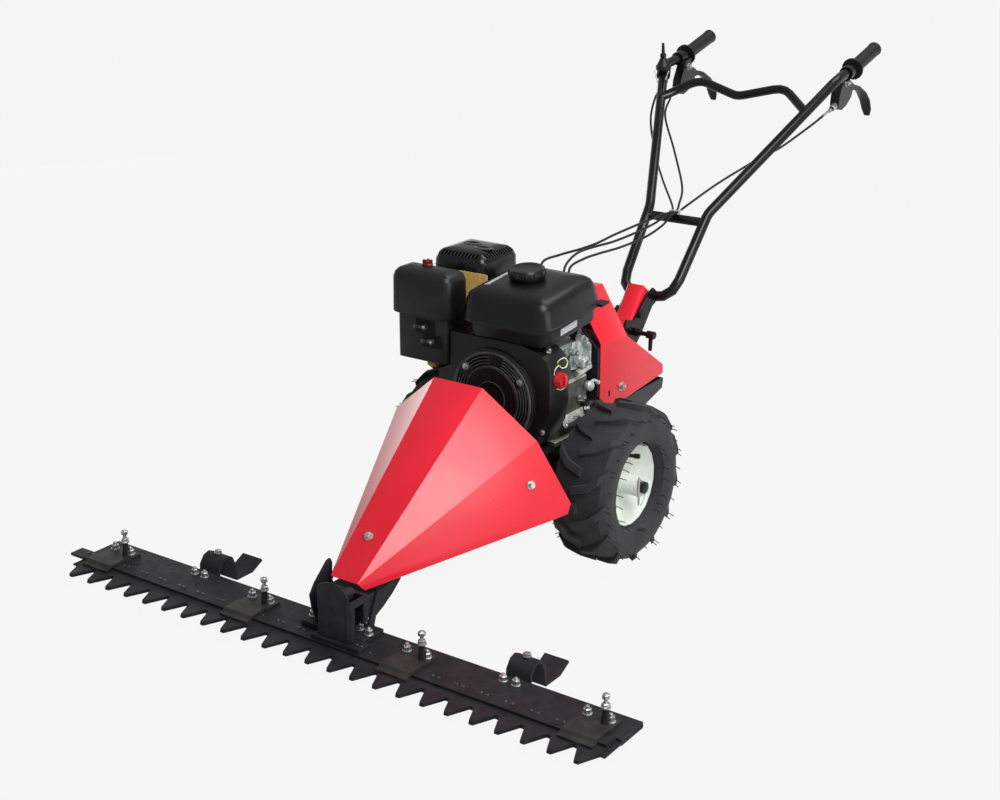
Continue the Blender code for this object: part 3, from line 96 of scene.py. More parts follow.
def mottling(tree, width, detail, rough, stretch):
    """A value that wanders softly over the piece, in patches about this many millimetres wide."""
    place = add(tree, "ShaderNodeTexCoord").outputs["Object"]
    if stretch != (1, 1, 1):
        place = add(tree, "ShaderNodeMapping", {"Scale": stretch}, {"Vector": place}).outputs["Vector"]
    settings = {"Scale": 1 / (width * MM), "Detail": detail, "Roughness": rough}
    return add(tree, "ShaderNodeTexNoise", settings, {"Vector": place}).outputs["Fac"]


COAT_ROUGHNESS = 0.12
BUMP_STRENGTH = 0.6


def finish(
    name, colours, rough, blotch, bumps=(), metallic=0.0, shine=0.5, coat=0.0, sheen=0.0,
    stretch=(1, 1, 1), top="",
):
    """A finish: two colours and a roughness range mixed by soft blotches, with bumps of (width, depth).

    Blotches and bumps are in millimetres. A real grain is finer than these bumps, which are drawn at
    0.6 mm or more so that a close view shows them. Faces that look up take the colour named by top: a
    painted light, paler on the upper faces.
    """
    made = bpy.data.materials.new(name)
    made.use_nodes = True
    tree = made.node_tree
    shader = tree.nodes["Principled BSDF"]
    shader.inputs["Metallic"].default_value = metallic
    shader.inputs["Specular IOR Level"].default_value = shine
    shader.inputs["Coat Weight"].default_value = coat
    shader.inputs["Coat Roughness"].default_value = COAT_ROUGHNESS
    shader.inputs["Sheen Weight"].default_value = sheen

    patches = mottling(tree, blotch, 4, 0.6, stretch)
    spread = add(tree, "ShaderNodeMapRange", {"From Min": 0.35, "From Max": 0.65}, {"Value": patches})
    ramp = add(tree, "ShaderNodeValToRGB", {}, {"Fac": spread.outputs["Result"]})
    for point, code in zip(ramp.color_ramp.elements, colours):
        point.color = linear(code)
    colour = ramp.outputs["Color"]
    # Painted light: faces that look up blend towards the top colour
    if top:
        normal = add(tree, "ShaderNodeNewGeometry").outputs["Normal"]
        height = add(tree, "ShaderNodeSeparateXYZ", {}, {"Vector": normal}).outputs["Z"]
        share = add(tree, "ShaderNodeMapRange", {"From Min": 0.25, "From Max": 0.55}, {"Value": height})
        # A colour mix has its factor at place 0 and its two colours at 6 and 7
        links = {0: share.outputs["Result"], 6: colour}
        colour = add(tree, "ShaderNodeMix", {"data_type": "RGBA", 7: linear(top)}, links).outputs[2]
    tree.links.new(colour, shader.inputs["Base Color"])

    settings = {"From Min": 0.3, "From Max": 0.7, "To Min": rough[0], "To Max": rough[1]}
    shades = mottling(tree, blotch * 0.4, 5, 0.65, stretch)
    gloss = add(tree, "ShaderNodeMapRange", settings, {"Value": shades})
    tree.links.new(gloss.outputs["Result"], shader.inputs["Roughness"])

    below = {}
    for width, depth in bumps:
        links = {"Height": mottling(tree, width, 3, 0.6, stretch), **below}
        bump = add(tree, "ShaderNodeBump", {"Distance": depth * MM, "Strength": BUMP_STRENGTH}, links)
        below = {"Normal": bump.outputs["Normal"]}
    for normal in below.values():
        tree.links.new(normal, shader.inputs["Normal"])
    return made


# Powder-coated red sheet: even and glossy, with a faint orange peel under the reflections
RED = finish("red_powder_coat", ("E01129", "EC1B33"), (0.27, 0.35), 250, ((5, 0.05),), coat=0.12)
# Black painted steel of bar, knife and brackets: satin, with a fine rough grain and paler patches
BLACK = finish(
    "black_painted_steel", ("16161A", "25252A"), (0.50, 0.68), 30, ((1.6, 0.14), (12, 0.40)), shine=0.30
)
# Clamp plates: black oxide with a greenish grey bloom
CLAMP = finish("black_oxide_clamp", ("21201E", "33322E"), (0.44, 0.58), 30, ((1.6, 0.10),), shine=0.35)
# Rivet heads: black painted domes, drawn in a lighter metallic grey as a painted highlight
RIVET_HIGHLIGHT = finish("rivet_painted_highlight", ("3A3A3D", "5A5A5C"), (0.30, 0.42), 4, metallic=0.7)
# Black enamel of the tubes: smooth and glossy, so it shows long highlights
ENAMEL = finish("black_enamel", ("0A0A0C", "101012"), (0.20, 0.26), 200, shine=0.30, coat=0.08)
# Tank: satin black paint on pressed steel
TANK = finish("black_tank_paint", ("0B0B0C", "111112"), (0.31, 0.38), 80, ((4, 0.03),), shine=0.33)
# Muffler guard: a glossier black paint on pressed steel, so its corners catch the light
GUARD = finish(
    "black_gloss_paint", ("0A0A0B", "101012"), (0.20, 0.27), 80, ((4, 0.03),), shine=0.33, coat=0.1
)
# Moulded plastic of the air cleaner and panel: finely grained, half matt
PLASTIC = finish("grained_plastic", ("0E0E10", "161618"), (0.34, 0.46), 30, ((0.8, 0.05),), shine=0.40)
# Starter and blower: satin black paint on pressed steel
HOUSING = finish("satin_black_housing", ("0B0B0D", "131315"), (0.30, 0.42), 40, ((1.2, 0.05),), shine=0.36)
# Tyre: matt rubber, greyer in patches
TYRE = finish("tyre_rubber", ("1A1A1D", "28282C"), (0.60, 0.80), 50, ((1.2, 0.15), (20, 0.6)), sheen=0.08)
# Grip: soft rubber with a fine moulded grain
GRIP = finish("grip_rubber", ("0D0D0F", "151517"), (0.42, 0.55), 20, ((1.2, 0.12),), shine=0.32, sheen=0.02)
# Rim: off-white paint with a faint green tint, duller in patches
RIM = finish("off_white_paint", ("D2DAD0", "EEF3EC"), (0.30, 0.45), 50, ((4, 0.08),))
# Cast aluminium of crankcase, barrel and head: sandy skin, with a paler colour on the faces that look up as
# painted light
CAST = finish(
    "cast_aluminium", ("4B4C49", "6C6E68"), (0.40, 0.56), 14, ((1.2, 0.25), (10, 0.4)),
    metallic=0.5, top="C3CABD",
)
# Zinc plate of nuts, bolts, pins and springs: bright, a little duller in places
ZINC = finish("zinc_plate", ("A9ADAD", "D3D6D2"), (0.30, 0.42), 6, ((0.6, 0.05),), metallic=0.9)
# Passivated zinc of the linkage, the sump ledge and the knob beside it: pale with a greenish tint
PASSIVE = finish("passivated_zinc", ("A6B0A9", "E0E6E0"), (0.28, 0.42), 12, ((0.8, 0.06),), metallic=0.35)
# Oiled steel of axle, axle caps and pulleys: turned, and dark under the oil
STEEL = finish("oiled_steel", ("2E2F32", "46474A"), (0.30, 0.44), 10, ((0.8, 0.05),), metallic=0.9)
# Exhaust: dark heat-scaled steel
SCALE = finish("scaled_steel", ("2A2725", "4A443E"), (0.50, 0.70), 15, ((1.5, 0.2),), metallic=0.6)
# Amber heat plate beside the tank: yellow passivated steel with mottled scale
AMBER = finish("amber_passivated_plate", ("FFBF55", "FFE691"), (0.35, 0.55), 12, ((2, 0.1),))
# Carburettor: dull yellow chromate
BRASS = finish("yellow_chromate", ("77672F", "A08D45"), (0.32, 0.48), 10, ((1, 0.08),), metallic=0.9)
# Stop switch: red moulded plastic
SWITCH = finish("red_plastic", ("B80A18", "D0182A"), (0.22, 0.32), 10, ((1, 0.03),), coat=0.3)
# Knob of the air cleaner: dark red plastic
KNOB = finish("dark_red_plastic", ("5A0D17", "781322"), (0.28, 0.40), 10, ((1, 0.04),))
# Cable sheath, belt, valves and tyre nubs: smooth black vinyl or rubber
SHEATH = finish("cable_sheath", ("0D0D0F", "161618"), (0.28, 0.38), 20, ((1.5, 0.03),), shine=0.32)
# Ribs and rings that stand between the louvres: the same black, drawn lighter grey as a painted highlight on
# their edges
RIB_HIGHLIGHT = finish("black_rib_painted_highlight", ("3F3F42", "5A5A5D"), (0.34, 0.46), 20, ((1.2, 0.05),))
# Painted shade inside slots and holes: near-black with no reflection at all, so they read as openings
SLOT_SHADE = finish("slot_painted_shade", ("030304", "070708"), (0.70, 0.90), 20, shine=0.0)
# Levers of the intake panel: plated steel under a thin film of dust
LEVER = finish("dusty_lever", ("3C3D3E", "5C5D5E"), (0.32, 0.45), 6, ((0.6, 0.04),), metallic=0.6)
# Recesses of the intake panel: plastic in shadow, dull and nearly black
RECESS = finish("shadowed_plastic", ("060607", "0C0C0E"), (0.55, 0.70), 6, shine=0.20)
# Tray: dark grey powder coat; on the guard's ribs the same grey, paler than the black guard, is a painted
# highlight on the lips between the slots
GREY_AND_HIGHLIGHT = finish("dark_grey_coat_and_rib_highlight", ("232428", "303136"), (0.36, 0.48), 50, ((2, 0.06),))
# Bare label plate: brushed aluminium foil; the same finish also makes the pale strip along the tank's top
# edge, a painted highlight
FOIL = finish(
    "bare_foil_plate", ("BCBEC1", "DADCDE"), (0.34, 0.50), 10, ((1, 0.04),), metallic=0.2, stretch=(1, 1, 6)
)
# Switch lead: pale yellow-green vinyl
LEAD = finish("yellow_lead", ("D3D58A", "EDEFC8"), (0.35, 0.45), 10)
# Cable tie and throttle bracket: white nylon
NYLON = finish("white_nylon", ("C6C7C8", "DEDEDD"), (0.35, 0.50), 10, ((1, 0.03),))

WELD = 0.01 * MM
FOLD_ANGLE = math.radians(14)


# Smoothing of faceted pieces: round faces shade softly, edges past the limit stay crisp
def smoother(limit):
    group = bpy.data.node_groups.new(f"smooth_below_{limit}", "GeometryNodeTree")
    group.interface.new_socket("Geometry", in_out="INPUT", socket_type="NodeSocketGeometry")
    group.interface.new_socket("Geometry", in_out="OUTPUT", socket_type="NodeSocketGeometry")
    start = add(group, "NodeGroupInput")
    welded = add(group, "GeometryNodeMergeByDistance", {"Distance": WELD}, {"Geometry": start.outputs[0]})
    settings = {"domain": "FACE", "Shade Smooth": True}
    faces = add(group, "GeometryNodeSetShadeSmooth", settings, {"Geometry": welded.outputs[0]})
    angle = add(group, "GeometryNodeInputMeshEdgeAngle").outputs["Unsigned Angle"]
    settings = {"operation": "GREATER_THAN", "B": math.radians(limit)}
    sharp = add(group, "FunctionNodeCompare", settings, {"A": angle})
    links = {"Geometry": faces.outputs[0], "Selection": sharp.outputs[0]}
    edges = add(group, "GeometryNodeSetShadeSmooth", {"domain": "EDGE", "Shade Smooth": False}, links)
    add(group, "NodeGroupOutput", {}, {0: edges.outputs[0]})
    return group


SMOOTH = {limit: smoother(limit) for limit in (24, 34, 50)}


def smooth(piece, limit):
    piece.modifiers.new("smooth", "NODES").node_group = SMOOTH[limit]


def dress(names, material, limit=34, fold=0.0):
    """Gives CAD nodes their material, soft shading and, for folded sheet, a small radius on its edges."""
    for name in names.split():
        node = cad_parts[name]
        node.data.materials.clear()
        node.data.materials.append(material)
        if fold:
            weld = node.modifiers.new("weld", "WELD")
            weld.merge_threshold = WELD
            edge = node.modifiers.new("fold", "BEVEL")
            edge.width = fold
            edge.segments = 3
            edge.limit_method = "ANGLE"
            edge.angle_limit = FOLD_ANGLE
            edge.use_clamp_overlap = True
        smooth(node, limit)


dress("nose_cover rear_cover", RED, 24, 0.6 * MM)
dress("handle_column", RED, 34, 1.0 * MM)
dress("cutter_bar knife drive_arm front_shield cutter_head eccentric_box", BLACK)
dress("knife_clamp_1 knife_clamp_2 knife_clamp_3 knife_clamp_4", CLAMP)
dress("skid_shoe_left skid_shoe_right", BLACK, 50)
dress("drive_tube main_frame gearbox pivot_bolt", BLACK)
dress("clutch_perch_left clutch_perch_right", ENAMEL)
dress("tail_box", GREY_AND_HIGHLIGHT, 24, 0.8 * MM)
dress("handlebar clutch_lever_left clutch_lever_right clamp_lever", ENAMEL, 50)
dress("fuel_tank fuel_cap", TANK, 50)
dress("muffler_guard", GUARD, 50)
dress("air_cleaner intake_panel oil_plug throttle_lever throttle_body", PLASTIC, 50)
dress("choke_lever fuel_lever", LEVER)
dress("blower_housing recoil_starter", HOUSING)
dress("tyre_left tyre_right", TYRE)
dress("grip_left grip_right", GRIP)
dress("rim_left rim_right", RIM)
dress("engine_block", CAST)
dress("control_linkage", PASSIVE)
dress("axle engine_pulley gearbox_pulley", STEEL)
dress("muffler", SCALE, 50)
dress("heat_shield", AMBER)
dress("carburettor", BRASS)
dress("engine_switch", SWITCH)
dress("drive_belt", SHEATH, 50)


# Mesh building for the small pieces
def aim(at, axis, up=UP):
    """A frame at a point whose Z runs along an axis."""
    z = Vector(axis).normalized()
    side = Vector(up).cross(z)
    if side.length < 1e-4:
        side = Vector(TO_RIGHT)
    x = side.normalized()
    return Matrix.Translation(at) @ Matrix((x, z.cross(x), z)).transposed().to_4x4()


def sided(place, side):
    """A place or direction of the right side as it is for 1, and mirrored to the left side for -1."""
    return Vector((side * place[0], place[1], place[2]))


def round_angles(count, turn=0.0):
    """Evenly spaced angles round a full circle, turned on by a share of one step."""
    return [math.tau * (i + turn) / count for i in range(count)]


def polar(place, angle, radius, height):
    """A point at an angle and a radius about a frame's Z, at a height along it."""
    return place @ Vector((radius * math.cos(angle), radius * math.sin(angle), height))


def spline(points, steps):
    """Points along a smooth curve through the given ones."""
    points = [Vector(p) for p in points]
    ends = [2 * points[0] - points[1], *points, 2 * points[-1] - points[-2]]
    path = []
    for a, b, c, d in zip(ends, ends[1:], ends[2:], ends[3:]):
        for i in range(steps):
            t = i / steps
            at = 2 * b + (c - a) * t + (2 * a - 5 * b + 4 * c - d) * t**2 + (3 * b - a - 3 * c + d) * t**3
            path.append(0.5 * at)
    return path + [points[-1]]


WASHER_TOP = 0.0015
NUT_SEAT = 0.0034


class Kit:
    """Gathers shapes into one mesh."""

    def __init__(self):
        self.bm = bmesh.new()

    def rings(self, rings, close=False):
        """A skin over rings of points, with flat ends unless the last ring goes back to the first."""
        rows = [[self.bm.verts.new(point) for point in ring] for ring in rings]
        pairs = zip(rows, rows[1:] + rows[:1]) if close else zip(rows, rows[1:])
        for one, two in pairs:
            for i in range(len(one)):
                self.bm.faces.new((one[i - 1], one[i], two[i], two[i - 1]))
        if not close:
            self.bm.faces.new(rows[0])
            self.bm.faces.new(rows[-1])

    def turned(self, profile, place, sides=24, turn=0.0):
        """A profile of (height, radius) turned about the frame's Z."""
        angles = round_angles(sides, turn)
        self.rings([[polar(place, t, r, h) for t in angles] for h, r in profile])

    def swept(self, bar, place, angles, close):
        """A bar with an outline of (radius, height), swept about the frame's Z through the angles."""
        self.rings([[polar(place, t, r, h) for r, h in bar] for t in angles], close)

    def hexagon(self, place, across, low, high, turn=0.0):
        """A hex nut or head with its corners chamfered."""
        radius = across / math.sqrt(3)
        cut = 0.12 * (high - low)
        profile = ((low, radius * 0.96), (low + cut, radius), (high - cut, radius), (high, radius * 0.86))
        self.turned(profile, place, 6, turn)

    def nut(self, place, across=0.013, height=0.0065, washer=0.0085, stud=0.006, turn=0.2):
        """A nut on a flat and a spring washer, with its bolt's end standing out by stud."""
        self.turned(((0, washer), (WASHER_TOP * 0.8, washer), (WASHER_TOP, washer * 0.93)), place)
        spring = ((WASHER_TOP, washer * 0.8), (NUT_SEAT - 0.0002, washer * 0.78), (NUT_SEAT, washer * 0.6))
        self.turned(spring, place)
        self.hexagon(place, across, NUT_SEAT, NUT_SEAT + height, turn)
        if stud:
            top = NUT_SEAT + height + stud
            radius = across * 0.27
            shank = ((WASHER_TOP + 0.0005, radius), (top - 0.001, radius), (top, radius * 0.8))
            self.turned(shank, place, 14)

    def box(self, place, x, y, z):
        """A box between two places along each of the frame's axes."""
        outline = ((x[0], y[0]), (x[1], y[0]), (x[1], y[1]), (x[0], y[1]))
        self.rings([[place @ Vector((a, b, c)) for a, b in outline] for c in z])

    def tube(self, points, radius, sides=12, steps=8):
        """A round tube along a smooth curve through the points."""
        path = spline(points, steps)
        angles = round_angles(sides)
        loops = []
        up = Vector(UP)
        for i, at in enumerate(path):
            lead = (path[min(i + 1, len(path) - 1)] - path[max(i - 1, 0)]).normalized()
            side = lead.cross(up)
            if side.length < 0.05:
                side = lead.cross(Vector(TO_RIGHT))
            side.normalize()
            up = side.cross(lead)
            loops.append([at + side * radius * math.cos(t) + up * radius * math.sin(t) for t in angles])
        self.rings(loops)

    def coil(self, start, end, radius, wire, turns, sides=10):
        """A coil spring between two points."""
        run = Vector(end) - Vector(start)
        place = aim(start, run)
        count = turns * sides
        winding = [(math.tau * k / sides, run.length * k / count) for k in range(count + 1)]
        self.tube([polar(place, t, radius, h) for t, h in winding], wire, 6, 1)

    def done(self, name, material, body, limit=34, bevel=0.0):
        """The finished piece, riding on a body where one is named."""
        bmesh.ops.recalc_face_normals(self.bm, faces=self.bm.faces)
        mesh = bpy.data.meshes.new(name)
        self.bm.to_mesh(mesh)
        self.bm.free()
        piece = bpy.data.objects.new(name, mesh)
        bpy.context.scene.collection.objects.link(piece)
        mesh.materials.append(material)
        if bevel:
            edge = piece.modifiers.new("edges", "BEVEL")
            edge.width = bevel
            edge.segments = 2
            edge.limit_method = "ANGLE"
        smooth(piece, limit)
        if body:
            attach(piece, body)
        return piece


# Cutter bar: clamp nuts, tall adjusting screws on black spacers, skid shoe bolts and head bolts
CLAMP_X = (-0.558, -0.190, 0.174, 0.542)
CLAMP_TOP = 0.0396
CLAMP_NUT_Y = -0.613
CLAMP_NUT_HALF = 0.022
CLAMP_NUT_SHIFT = -0.002
SCREW_SHIFT = 0.0145
SCREW_Y = -0.620
SPACER_TOP = 0.0270
SPACER = ((0, 0.0075), (0.004, 0.0070), (SPACER_TOP - 0.003, 0.0050), (SPACER_TOP, 0.0050))
# Foot and top of the screw's nut and head, above the clamp
LOCK_NUT = (0.0284, 0.0352)
LOCK_NUT_ACROSS = 0.0125
SCREW_HEAD = (0.0435, 0.0510)
SCREW_HEAD_ACROSS = 0.0120
SCREW_SHANK = ((SPACER_TOP - 0.001, 0.0035), (SCREW_HEAD[0] + 0.0005, 0.0035))
SCREW_WASHER = ((SPACER_TOP, 0.0085), (LOCK_NUT[0], 0.0085))
SCREW_TIP = ((SCREW_HEAD[1], 0.0042), (SCREW_HEAD[1] + 0.0008, 0.0036))
SKID_X = (-0.369, 0.353)
SKID_NUT_HALF = 0.013
SKID_NUT_Y = -0.594
SKID_TOP = 0.0331
ARCH_Y = -0.5425
ARCH_TOP = 0.0597
ARCH_FACING = (0, 0.15, 1)
ARCH_HEAD = (0.0012, 0.0070)
ARCH_HEAD_ACROSS = 0.0125
ARCH_WASHER = ((0, 0.0080), (ARCH_HEAD[0], 0.0080))
HEAD_NUTS = ((0.038, -0.605), (0.064, -0.612), (-0.064, -0.612), (-0.060, -0.590))
HEAD_TOP = 0.0441

hardware = Kit()
spacers = Kit()
for i, x in enumerate(CLAMP_X):
    for side in (-1, 1):
        seat = aim((x + side * CLAMP_NUT_HALF + CLAMP_NUT_SHIFT, CLAMP_NUT_Y, CLAMP_TOP), UP)
        hardware.nut(seat, turn=0.1 + 0.3 * i + 0.2 * side, stud=0.005)
    screw = aim((x + SCREW_SHIFT, SCREW_Y, CLAMP_TOP), UP)
    spacers.turned(SPACER, screw, 18)
    hardware.turned(SCREW_SHANK, screw, 16)
    hardware.turned(SCREW_WASHER, screw)
    hardware.hexagon(screw, LOCK_NUT_ACROSS, *LOCK_NUT, 0.2 * i)
    hardware.hexagon(screw, SCREW_HEAD_ACROSS, *SCREW_HEAD, 0.15 + 0.25 * i)
    hardware.turned(SCREW_TIP, screw, 16)
for x in SKID_X:
    for side in (-1, 1):
        seat = aim((x + side * SKID_NUT_HALF, SKID_NUT_Y, SKID_TOP), UP)
        hardware.nut(seat, across=0.012, height=0.0065, washer=0.008, stud=0.004, turn=0.1 * side)
    arch = aim((x, ARCH_Y, ARCH_TOP), ARCH_FACING)
    hardware.turned(ARCH_WASHER, arch)
    hardware.hexagon(arch, ARCH_HEAD_ACROSS, *ARCH_HEAD, 0.3)
for x, y in HEAD_NUTS:
    seat = aim((x, y, HEAD_TOP), UP)
    hardware.nut(seat, across=0.013, height=0.0070, washer=0.0088, stud=0.004, turn=0.15)
hardware.done("bar_hardware", ZINC, "chassis")
spacers.done("screw_spacers", BLACK, "chassis")

# Knife rivets: two low domes to a tooth, left out where the head covers them, and a pair on the knife's head
BAR_MID_X = -0.008
TEETH = 24
TOOTH_PITCH = 0.050
RIVET_HALF = 0.0065
HEAD_SPAN = (-0.02, 0.09)
RIVET_Y, RIVET_Z = -0.6525, 0.0360
RIVET_DOME = ((0, 0.0034), (0.0007, 0.0033), (0.0014, 0.0024), (0.0017, 0.0009))
HEAD_RIVET_X = (0.071, 0.081)
HEAD_RIVET_Y, HEAD_RIVET_Z = -0.6535, 0.0440
HEAD_RIVET_DOME = ((0, 0.0040), (0.001, 0.0039), (0.0019, 0.003), (0.0022, 0.001))

rivets = Kit()
for i in range(-TEETH // 2, TEETH // 2):
    for side in (-1, 1):
        x = BAR_MID_X + TOOTH_PITCH * i + side * RIVET_HALF
        if not HEAD_SPAN[0] < x < HEAD_SPAN[1]:
            rivets.turned(RIVET_DOME, aim((x, RIVET_Y, RIVET_Z), UP), 14)
for x in HEAD_RIVET_X:
    rivets.turned(HEAD_RIVET_DOME, aim((x, HEAD_RIVET_Y, HEAD_RIVET_Z), UP), 16)
# The domes are lighter grey than the black knife, a painted highlight
rivets.done("knife_rivets", RIVET_HIGHLIGHT, "knife")

# Red covers: bolts on the nose's ridge and sides, and a bolt and a slot on each side of the rear cover
RIDGE_FOOT = (-0.600, 0.127)
RIDGE_TOP = (-0.256, 0.401)
RIDGE_BOLT_Y = -0.528
NOSE_BOLT = (0.169, -0.2601, 0.2338)
NOSE_SIDE = (0.891, -0.418, 0.177)
REAR_BOLT = (0.0952, 0.1840, 0.2890)
REAR_SLOT = (0.0951, 0.1360, 0.2870)
SLOT_R = 0.0022
SLOT_HALF = 0.0045

bolts = Kit()
run = RIDGE_TOP[0] - RIDGE_FOOT[0]
rise = RIDGE_TOP[1] - RIDGE_FOOT[1]
ridge_bolt_z = RIDGE_FOOT[1] + (RIDGE_BOLT_Y - RIDGE_FOOT[0]) * rise / run
ridge = aim((0, RIDGE_BOLT_Y, ridge_bolt_z + 0.0002), (0, -rise, run))
bolts.nut(ridge, across=0.010, height=0.005, washer=0.0085, stud=0, turn=0.2)
for side in (1, -1):
    outward = sided(NOSE_SIDE, side)
    seat = aim(sided(NOSE_BOLT, side) + outward * 0.0003, outward)
    bolts.nut(seat, across=0.010, height=0.005, washer=0.0085, stud=0, turn=0.1)
    seat = aim(sided(REAR_BOLT, side), (side, 0, 0))
    bolts.nut(seat, across=0.0105, height=0.005, washer=0.0100, stud=0.002, turn=0.3)
bolts.done("cover_bolts", ZINC, "chassis")
# Each rear slot is a thin near-black oval over the cover, painted shade for the opening
slots = Kit()
for side in (1, -1):
    middle = aim(sided(REAR_SLOT, side), (side, 0, 0))
    outline = [(SLOT_R * math.cos(t), SLOT_R * math.sin(t) + (SLOT_HALF if t < math.pi else -SLOT_HALF))
               for t in round_angles(24, 0.5)]
    slots.rings([[middle @ Vector((x, y, h)) for x, y in outline] for h in (-0.0002, 0.0004)])
slots.done("cover_slot_shade", SLOT_SHADE, "chassis")

# Wheels: lynch pin with its ring and hole, axle cap, valve, and the moulding nubs of the tyre
AXLE_Z = 0.163
PIN_X = 0.2585
PIN = ((-0.0150, 0.188), (-0.0155, 0.160), (-0.0140, 0.130))
PIN_R = 0.0024
RING_X, RING_Y, RING_Z = PIN_X + 0.001, -0.0145, 0.1560
RING_WIDE, RING_HIGH = 0.0275, 0.0300
RING_ANGLES = (0.15, 0.6, 1.1, 1.7, 2.3, 2.9)
RING_WIRE_R = 0.0012
PIN_HOLE_AT = (0.2395, -0.0185, 0.1680)
PIN_HOLE_FACING = (0, -0.96, 0.28)
PIN_HOLE = ((0, 0.0040), (0.0006, 0.0040))
AXLE_END = (0.2635, 0, AXLE_Z)
AXLE_CAP = ((0, 0.0120), (0.0020, 0.0116), (0.0028, 0.0100))
AXLE_CAP_TIP = ((0.0028, 0.0016), (0.0034, 0.0014))
STEM = (
    (0.203, 0.014, 0.2265), (0.209, 0.012, 0.2215), (0.217, 0.0125, 0.2175), (0.226, 0.0160, 0.2165),
    (0.236, 0.0200, 0.2165),
)
STEM_R = 0.0038
VALVE_CAP = ((0, 0.0036), (0.002, 0.0050), (0.010, 0.0052), (0.013, 0.0040), (0.0135, 0.0020))
VALVE_CAP_AT = (0.2265, 0.0163, 0.2165)
VALVE_LEAN = 0.40
TYRE_MID_X = 0.1975
LUGS_PER_SIDE = 13
LUG_LEAN = 14.5
# Nubs beside a lug: degrees past its end, radius on the tyre, and distance from the tyre's middle
LUG_NUBS = ((-1.8, 0.1430, 0.0585), (2.0, 0.1400, 0.0585), (13.0, 0.1340, 0.0560))
LUG_NUB_R = 0.0009
LOWEST_NUB = 0.024
BEAD_NUBS = 22
BEAD_NUB_R = 0.0008
BEAD_R = 0.0905
BEAD_X = 0.2540


def lug_nubs(nubs, side):
    """Thin rubber hairs that the mould leaves beside the outer ends of the lugs."""
    for row in (1, -1):
        outward = row * side
        for i in range(LUGS_PER_SIDE):
            lug = 360 / LUGS_PER_SIDE * (i + (0.25 if row > 0 else 0.75)) + LUG_LEAN
            for k, (swing, radius, across) in enumerate(LUG_NUBS):
                t = math.radians(lug + swing) + (math.pi if side < 0 else 0)
                x = side * TYRE_MID_X + outward * across
                root = Vector((x, radius * math.sin(t), AXLE_Z + radius * math.cos(t)))
                if root.z < LOWEST_NUB:
                    continue
                lead = Vector((outward, 0.25 * math.sin(t + i), 0.25 * math.cos(t) - 0.1)).normalized()
                length = 0.0125 + 0.0025 * math.sin(5.1 * i + 2 * k)
                bend = Vector((0, 0.0012 * math.cos(1.7 * i + k), -0.0018))
                tip = root + lead * length + bend
                nubs.tube([root - lead * 0.002, root + lead * length * 0.5, tip], LUG_NUB_R, 6, 2)


def bead_nubs(nubs, side):
    """Shorter hairs round the tyre's bead, beside the rim."""
    for i in range(BEAD_NUBS):
        t = math.tau * i / BEAD_NUBS + 0.3 * math.sin(4 * i)
        root = Vector((side * BEAD_X, BEAD_R * math.sin(t), AXLE_Z + BEAD_R * math.cos(t)))
        reaches = ((-0.003, 0, 0), (0.006, 0, 0), (0.0135, 0, -0.0015 * (i % 3)))
        nubs.tube([root + sided(reach, side) for reach in reaches], BEAD_NUB_R, 6, 2)


pins = Kit()
caps = Kit()
nubs = Kit()
valves = Kit()
for side in (1, -1):
    pins.tube([(side * PIN_X, y, z) for y, z in PIN], PIN_R, 12, 4)
    loop = [(RING_X, RING_Y + RING_WIDE * math.sin(t) * math.sin(t / 2), RING_Z + RING_HIGH * math.cos(t))
            for t in RING_ANGLES]
    pins.tube([sided(point, side) for point in loop], RING_WIRE_R, 8, 6)
    caps.turned(PIN_HOLE, aim(sided(PIN_HOLE_AT, side), PIN_HOLE_FACING), 18)
    end = aim(sided(AXLE_END, side), (side, 0, 0))
    caps.turned(AXLE_CAP, end)
    caps.turned(AXLE_CAP_TIP, end, 12)
    valves.tube([sided(point, side) for point in STEM], STEM_R, 14, 6)
    valves.turned(VALVE_CAP, aim(sided(VALVE_CAP_AT, side), (side, VALVE_LEAN, 0)), 16)
    lug_nubs(nubs, side)
    bead_nubs(nubs, side)
pins.done("lynch_pins", ZINC, "wheels")
caps.done("axle_caps", STEEL, "wheels")
valves.done("valves", SHEATH, "wheels", 50)
nubs.done("tyre_nubs", SHEATH, "wheels", 50)

# Recoil starter: raised rings, groups of curved louvres with ribs between them, screw bosses and screws
STARTER_FACE = aim((0, -0.1475, 0.340), AHEAD)
FULL_CIRCLE = (0, 360)
# Radius, half width, foot and top
STARTER_RINGS = (
    (0.0630, 0.0014, -0.001, 0.0016), (0.0900, 0.0016, -0.001, 0.0016), (0.0325, 0.0010, 0.0025, 0.0042),
)
LOUVRE_GROUPS = ((-206, -144), (-118, -76), (-28, 26), (39, 70), (96, 132))
LOUVRES = 4
LOUVRE_R = 0.0660
LOUVRE_PITCH = 0.0062
# Half width, foot and top
LOUVRE = (0.0019, -0.001, 0.0003)
LOUVRE_RIB = (0.0011, -0.001, 0.0020)
# Degrees and radius
BOSSES = ((33, 0.0800), (139.5, 0.0805), (-131, 0.0800), (-64, 0.0800))
BOSS = ((-0.001, 0.0095), (0.0012, 0.0092), (0.0016, 0.0080))
BOSS_SCREW = ((0.0010, 0.0066), (0.0024, 0.0066), (0.0026, 0.0052), (0.0048, 0.0050), (0.0056, 0.0034))
HOUSING_SCREWS = ((0.1120, -0.1363, 0.2880), (-0.1040, -0.1363, 0.2900))
HOUSING_SCREW = ((0, 0.0060), (0.0012, 0.0060), (0.0014, 0.0045), (0.0040, 0.0042), (0.0046, 0.0030))


def bow(kit, radius, span, half, low, high):
    """A curved bar on the starter face, from one angle in degrees to another; a ring over 360 degrees."""
    start, end = span
    steps = max(6, (end - start) // 4)
    closed = end - start == 360
    count = steps if closed else steps + 1
    angles = [math.radians(start + (end - start) * k / steps) for k in range(count)]
    bar = (
        (radius - half, low), (radius - half * 0.6, high), (radius + half * 0.6, high), (radius + half, low)
    )
    kit.swept(bar, STARTER_FACE, angles, closed)


